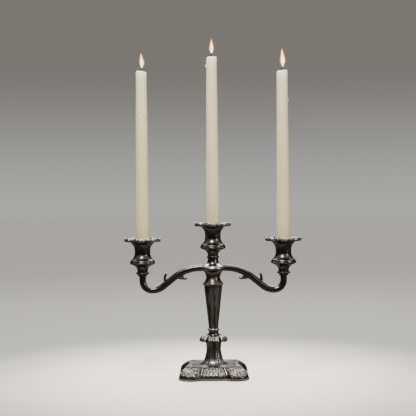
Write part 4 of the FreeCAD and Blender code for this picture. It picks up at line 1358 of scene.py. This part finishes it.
def wax_rows(light, mound):
    """The side, the rounded rim and the pool of a candle, from its foot to its middle."""
    low, high = span(f"candle_wax_{light}")
    levels = np.linspace(low + A_HAIR, high - CROWN_HEIGHT, WAX_ROWS)
    radii = turned_radii(f"candle_wax_{light}", levels)
    bend = np.linspace(0.0, math.pi / 2.0, RIM_ROWS)[1:]
    rim_radii = radii[-1] - RIM_RADIUS * (1.0 - np.cos(bend))
    rim_levels = high - CROWN_HEIGHT + (CROWN_HEIGHT - RIM_BELOW_TOP) * np.sin(bend)
    inward = np.linspace(1.0, 0.0, POOL_ROWS)[1:]
    pool_radii = (radii[-1] - RIM_RADIUS) * inward
    pool_levels = high - RIM_BELOW_TOP + mound * (1.0 - inward**2)
    all_radii = np.concatenate(([0.0], radii, rim_radii, pool_radii))
    all_levels = np.concatenate(([levels[0]], levels, rim_levels, pool_levels))
    return all_radii[:, None], all_levels[:, None], radii[-1]


def turn_between(turns, turn):
    """The smallest angle between each turn and one turn."""
    return np.abs((turns - turn + math.pi) % (2.0 * math.pi) - math.pi)


def drop_relief(drop, top, radii, levels, turns):
    """How far one drop and its track stand out, in mm, and how strongly they are painted pale and
    glowing.
    """
    size, track, level = drop["size"], drop["track"], top - drop["down"]
    away = turn_between(turns, drop["turn"]) * radii
    bead = np.exp(-((away / size) ** 2) - (((levels - level) / (1.25 * size)) ** 2))
    above = smooth_step(level, level + 1.0, levels)
    on_track = above * (1.0 - smooth_step(level + track, level + track + 8.0, levels))
    run = 0.35 * hill(away, 0.0, 0.7 * size) * on_track * (track > 0.0)
    return 1.15 * size * bead + size * run, np.clip(bead + run, 0.0, 1.0)


def make_wax_body(light, facts):
    """One candle: out of round above its nozzle, slumped at the rim, and dripped on."""
    low, high = span(f"candle_wax_{light}")
    turns = full_turn(WAX_STEPS)
    radii, levels, tip_radius = wax_rows(light, facts["mound"])
    radii = radii + 0.0 * turns
    levels = levels + 0.0 * turns
    phase = facts["slump_turn"]
    held = smooth_step(low + GRIPPED_BELOW, low + FREE_ABOVE, levels)
    out_of_round = 0.10 * np.cos(2.0 * turns + phase) + 0.06 * np.cos(3.0 * turns)
    skin = held * (out_of_round + 0.10 * np.sin(levels / 19.0 + phase))
    slump = np.cos(turns - math.radians(facts["slump_turn"])) * facts["slump"]
    nicks = 0.28 * np.cos(5.0 * turns + 1.0) + 0.18 * np.cos(9.0 * turns + phase)
    near_top = smooth_step(high - SLUMP_DEPTH, high - 0.5, levels)
    at_rim = near_top * hill(radii, tip_radius - 1.0, 3.0)
    levels = levels + at_rim * (slump + nicks)
    # The top of the candle gets a painted glow, as light from the flame.
    glow = 0.7 * smooth_step(high - GLOW_DEPTH, high, levels) ** 1.5
    for drop in facts["drops"]:
        stand, painted_glow = drop_relief(drop, high, radii, levels, turns)
        skin = skin + stand
        # Each drop is painted pale and glowing too.
        glow = np.maximum(glow, painted_glow)
    radii = radii + np.where(radii > 1.0, skin, 0.0)
    grid = swept_round(radii, levels, turns, middle(f"candle_wax_{light}"))
    piece = add_skin(f"wax_{light}", grid, f"candle_{light}", wax, glow)
    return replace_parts(piece, f"candle_wax_{light}")


print("rows in one candle:", len(wax_rows("left", 0.0)[0]))

# %% Wicks and flames
WICK_ROWS, WICK_STEPS = 34, 20
WICK_RADIUS, BRAID_RIPPLE, BRAID_RATE = 1.15, 0.12, 60.0
FLAME_ROWS, FLAME_STEPS = 48, 32
FLAME_GAP, FLAME_SHIFT = 3.4, 0.25
FLAME_PROFILE = (
    (0.0, 0.12),
    (0.12, 0.52),
    (0.27, 0.86),
    (0.40, 1.0),
    (0.56, 0.82),
    (0.74, 0.48),
    (0.90, 0.2),
    (1.0, 0.02),
)


def sweep_tube(path, radii, columns):
    """A round tube along a path of points in space, standing roughly upright."""
    turns = full_turn(columns)
    x = path[:, :1] + radii[:, None] * np.cos(turns)
    y = path[:, 1:2] + radii[:, None] * np.sin(turns)
    z = path[:, 2:] + 0.0 * turns
    return np.stack((x, y, z), axis=-1)


def make_wick(light, facts):
    """A charred wick that leans over and glows at its end."""
    x, y = middle(f"wick_{light}")[:2]
    top = span(f"wick_{light}")[1]
    wax_top = span(f"candle_wax_{light}")[1]
    lean_x, lean_y = facts["lean"]
    corners = [
        (x - 0.3 * lean_x, y, wax_top - 3.0),
        (x - 0.25 * lean_x, y, wax_top + 0.5),
        (x + 0.15 * lean_x, y + 0.3 * lean_y, wax_top + 3.0),
        (x + 0.7 * lean_x, y + lean_y, top - 0.6),
        (x + 0.9 * lean_x, y + lean_y, top),
    ]
    climb = np.linspace(0.0, 1.0, WICK_ROWS)
    radii = WICK_RADIUS + BRAID_RIPPLE * np.sin(climb * BRAID_RATE)
    radii = radii - 1.0 * smooth_step(0.9, 1.0, climb)
    grid = sweep_tube(smooth_path(corners, WICK_ROWS), radii, WICK_STEPS)
    ember = np.repeat(smooth_step(0.78, 1.0, climb), WICK_STEPS)
    piece = add_skin(f"wick_curl_{light}", grid, f"candle_{light}", char, ember)
    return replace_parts(piece, f"wick_{light}")


def make_flame(light, facts, name, material, swell, below_tip):
    """One shell of a flame: a drop shape from round the wick to a fine tip."""
    x, y = middle(f"wick_{light}")[:2]
    wax_top = span(f"candle_wax_{light}")[1]
    low = wax_top + FLAME_GAP - 0.4 * swell
    high = wax_top + facts["flame_height"] - below_tip
    profile = smooth_path(FLAME_PROFILE, FLAME_ROWS)
    share = profile[:, 0]
    radii = np.clip(profile[:, 1], 0.005, 1.0) * (facts["flame_half_width"] + swell)
    lean = facts["lean"][0] * 0.45 * (1.0 - smooth_step(0.3, 1.0, share)) + FLAME_SHIFT
    path = np.stack((x + lean, y + 0.0 * share, low + (high - low) * share), axis=-1)
    grid = sweep_tube(path, radii, FLAME_STEPS)
    climb = np.repeat(share, FLAME_STEPS)
    return add_skin(f"{name}_{light}", grid, f"candle_{light}", material, climb)


for light, facts in CANDLES.items():
    make_wax_body(light, facts)
    make_wick(light, facts)
    make_flame(light, facts, "flame_core", flame_core, -1.3, 3.5)
    make_flame(light, facts, "flame_glow", flame_glow, 0.5, 0.0)
print("candles:", ", ".join(CANDLES))

# %% [markdown]
# ## The stage
# The floor is plain and pale.  Old plate looks black because it mirrors a dark room, and
# a studio would build such a room round it with black cloth.  Here the sky does that: the
# metal sees a dim room with a bright window high up behind it, while the camera sees an
# even grey wall.  A Light Path node tells the two kinds of ray apart.

# %% The floor
FLOOR_HALF_SIZE = 30.0
NEAR_FLOOR, FAR_FLOOR = (0.82, 0.765, 0.70, 1.0), (0.228, 0.228, 0.225, 1.0)
FLOOR_FADE = (0.12, 0.50)
TABLE_REACH = 0.17
MIRRORED_TABLE = (0.20, 0.185, 0.165, 1.0)
DIM_ROOM = (0.05, 0.047, 0.043, 1.0)


def floor_colour(tree):
    """Pale near the object; mirrored rays see a small table top in a dim room."""
    length = {"operation": "LENGTH"}
    reach = add_node(tree, "ShaderNodeVectorMath", {0: object_place(tree)}, **length)
    reach = reach.outputs["Value"]
    shown = blend_colours(tree, remap(tree, reach, *FLOOR_FADE), NEAR_FLOOR, FAR_FLOOR)
    past_edge = remap(tree, reach, TABLE_REACH, 1.3 * TABLE_REACH)
    mirrored = blend_colours(tree, past_edge, MIRRORED_TABLE, DIM_ROOM)
    glossy = add_node(tree, "ShaderNodeLightPath").outputs["Is Glossy Ray"]
    return blend_colours(tree, glossy, shown, mirrored)


def make_floor():
    """A large plain square at the level of the table."""
    size = FLOOR_HALF_SIZE
    corners = [(-size, -size, 0.0), (size, -size, 0.0), (size, size, 0.0), (-size, size, 0.0)]
    mesh = bpy.data.meshes.new("floor")
    mesh.from_pydata(corners, [], [(0, 1, 2, 3)])
    material, tree, shader = new_material("pale_floor")
    finish = {"Base Color": floor_colour(tree), "Roughness": 0.7, "Specular IOR Level": 0.1}
    set_inputs(tree, shader, finish)
    mesh.materials.append(material)
    floor = bpy.data.objects.new("floor", mesh)
    bpy.context.scene.collection.objects.link(floor)
    return floor


floor = make_floor()
print(floor.name, "is", 2.0 * FLOOR_HALF_SIZE, "metres across")

# %% The sky
WALL_LOW = (0.50, 0.50, 0.485, 1.0)
WALL_HIGH = (0.20, 0.19, 0.175, 1.0)
WINDOW_WAY = (0.0, 0.42, 0.907)
WINDOW = (6.0, 5.8, 5.5, 1.0)
CEILING = (0.9, 0.86, 0.8, 1.0)
WINDOW_EDGE, CEILING_FADE, WALL_FADE = (0.78, 0.93), (0.3, 0.75), (-0.03, 0.16)


def room_colour(tree, way, height):
    """A dim room under a pale ceiling, with a bright window."""
    ways = {0: way, 1: WINDOW_WAY}
    lean = add_node(tree, "ShaderNodeVectorMath", ways, operation="DOT_PRODUCT")
    window = remap(tree, lean.outputs["Value"], *WINDOW_EDGE)
    ceiling = blend_colours(tree, remap(tree, height, *CEILING_FADE), DIM_ROOM, CEILING)
    return blend_colours(tree, window, ceiling, WINDOW)


def background(tree, colour):
    """A sky of one colour field."""
    return add_node(tree, "ShaderNodeBackground", {"Color": colour}).outputs[0]


def make_sky():
    """The room for the light and the mirrors, and the wall for the camera."""
    world = bpy.data.worlds.new("studio")
    bpy.context.scene.world = world
    world.use_nodes = True
    tree = world.node_tree
    tree.nodes.clear()
    way = add_node(tree, "ShaderNodeTexCoord").outputs["Generated"]
    height = add_node(tree, "ShaderNodeSeparateXYZ", {0: way}).outputs["Z"]
    room = background(tree, room_colour(tree, way, height))
    climb = remap(tree, height, *WALL_FADE)
    wall = background(tree, blend_colours(tree, climb, WALL_LOW, WALL_HIGH))
    seen = add_node(tree, "ShaderNodeLightPath").outputs["Is Camera Ray"]
    mixed = add_node(tree, "ShaderNodeMixShader", {0: seen, 1: room, 2: wall})
    add_node(tree, "ShaderNodeOutputWorld", {"Surface": mixed.outputs[0]})
    return world


sky = make_sky()
print("sky:", len(sky.node_tree.nodes), "nodes")

# %% [markdown]
# ## The lights
# Polished metal shows the shape of every lamp, so small hard lamps would dot it with
# sparks.  Large soft ones draw long highlights down the stem.  A small one overhead
# gives the candles and the pans their bright tops.

# %% Soft lights
STEM_MIDDLE = (0.0, 0.0, 0.22)


def soft_light(name, place, size, watts):
    """A rectangular lamp, in metres, that faces the middle of the stem."""
    lamp = bpy.data.lights.new(name, "AREA")
    lamp.shape = "RECTANGLE"
    lamp.size, lamp.size_y = size
    lamp.energy = watts
    holder = bpy.data.objects.new(name, lamp)
    holder.location = place
    way = Vector(STEM_MIDDLE) - Vector(place)
    holder.rotation_euler = way.to_track_quat("-Z", "Y").to_euler()
    bpy.context.scene.collection.objects.link(holder)
    return holder


lamps = [
    soft_light("key", (-0.22, -0.75, 1.15), (0.40, 0.30), 15.0),
    soft_light("fill", (1.3, -0.8, 0.75), (0.35, 0.9), 9.0),
    soft_light("back", (0.1, 1.2, 1.3), (1.4, 0.6), 22.0),
    soft_light("lamp", (-0.12, -0.42, 1.7), (0.12, 0.12), 12.0),
]
print("watts of light:", sum(holder.data.energy for holder in lamps))

# %% [markdown]
# ## The camera
# The view is level, from just above half the height of the object.  A short lens close
# by would spread the outer candles, so a long lens stands well back.  The camera is
# rolled by half a degree, which makes the stem lean as it would on an uneven table, and
# turned a little, so that the stem is right of the middle.

# %% Camera
CAMERA_DISTANCE, CAMERA_HEIGHT = 1.5, 0.2775
LENS, SENSOR_WIDTH, NEAREST = 78.2, 36.0, 0.05
ROLL, YAW = math.radians(0.46), math.radians(0.29)

camera_data = bpy.data.cameras.new("camera")
camera_data.lens = LENS
camera_data.sensor_width = SENSOR_WIDTH
camera_data.clip_start = NEAREST
camera = bpy.data.objects.new("camera", camera_data)
camera.location = (0.0, -CAMERA_DISTANCE, CAMERA_HEIGHT)
camera.rotation_euler = (math.radians(90.0), ROLL, YAW)
bpy.context.scene.collection.objects.link(camera)
bpy.context.scene.camera = camera
print("camera sees", round(math.degrees(camera_data.angle), 1), "degrees across")
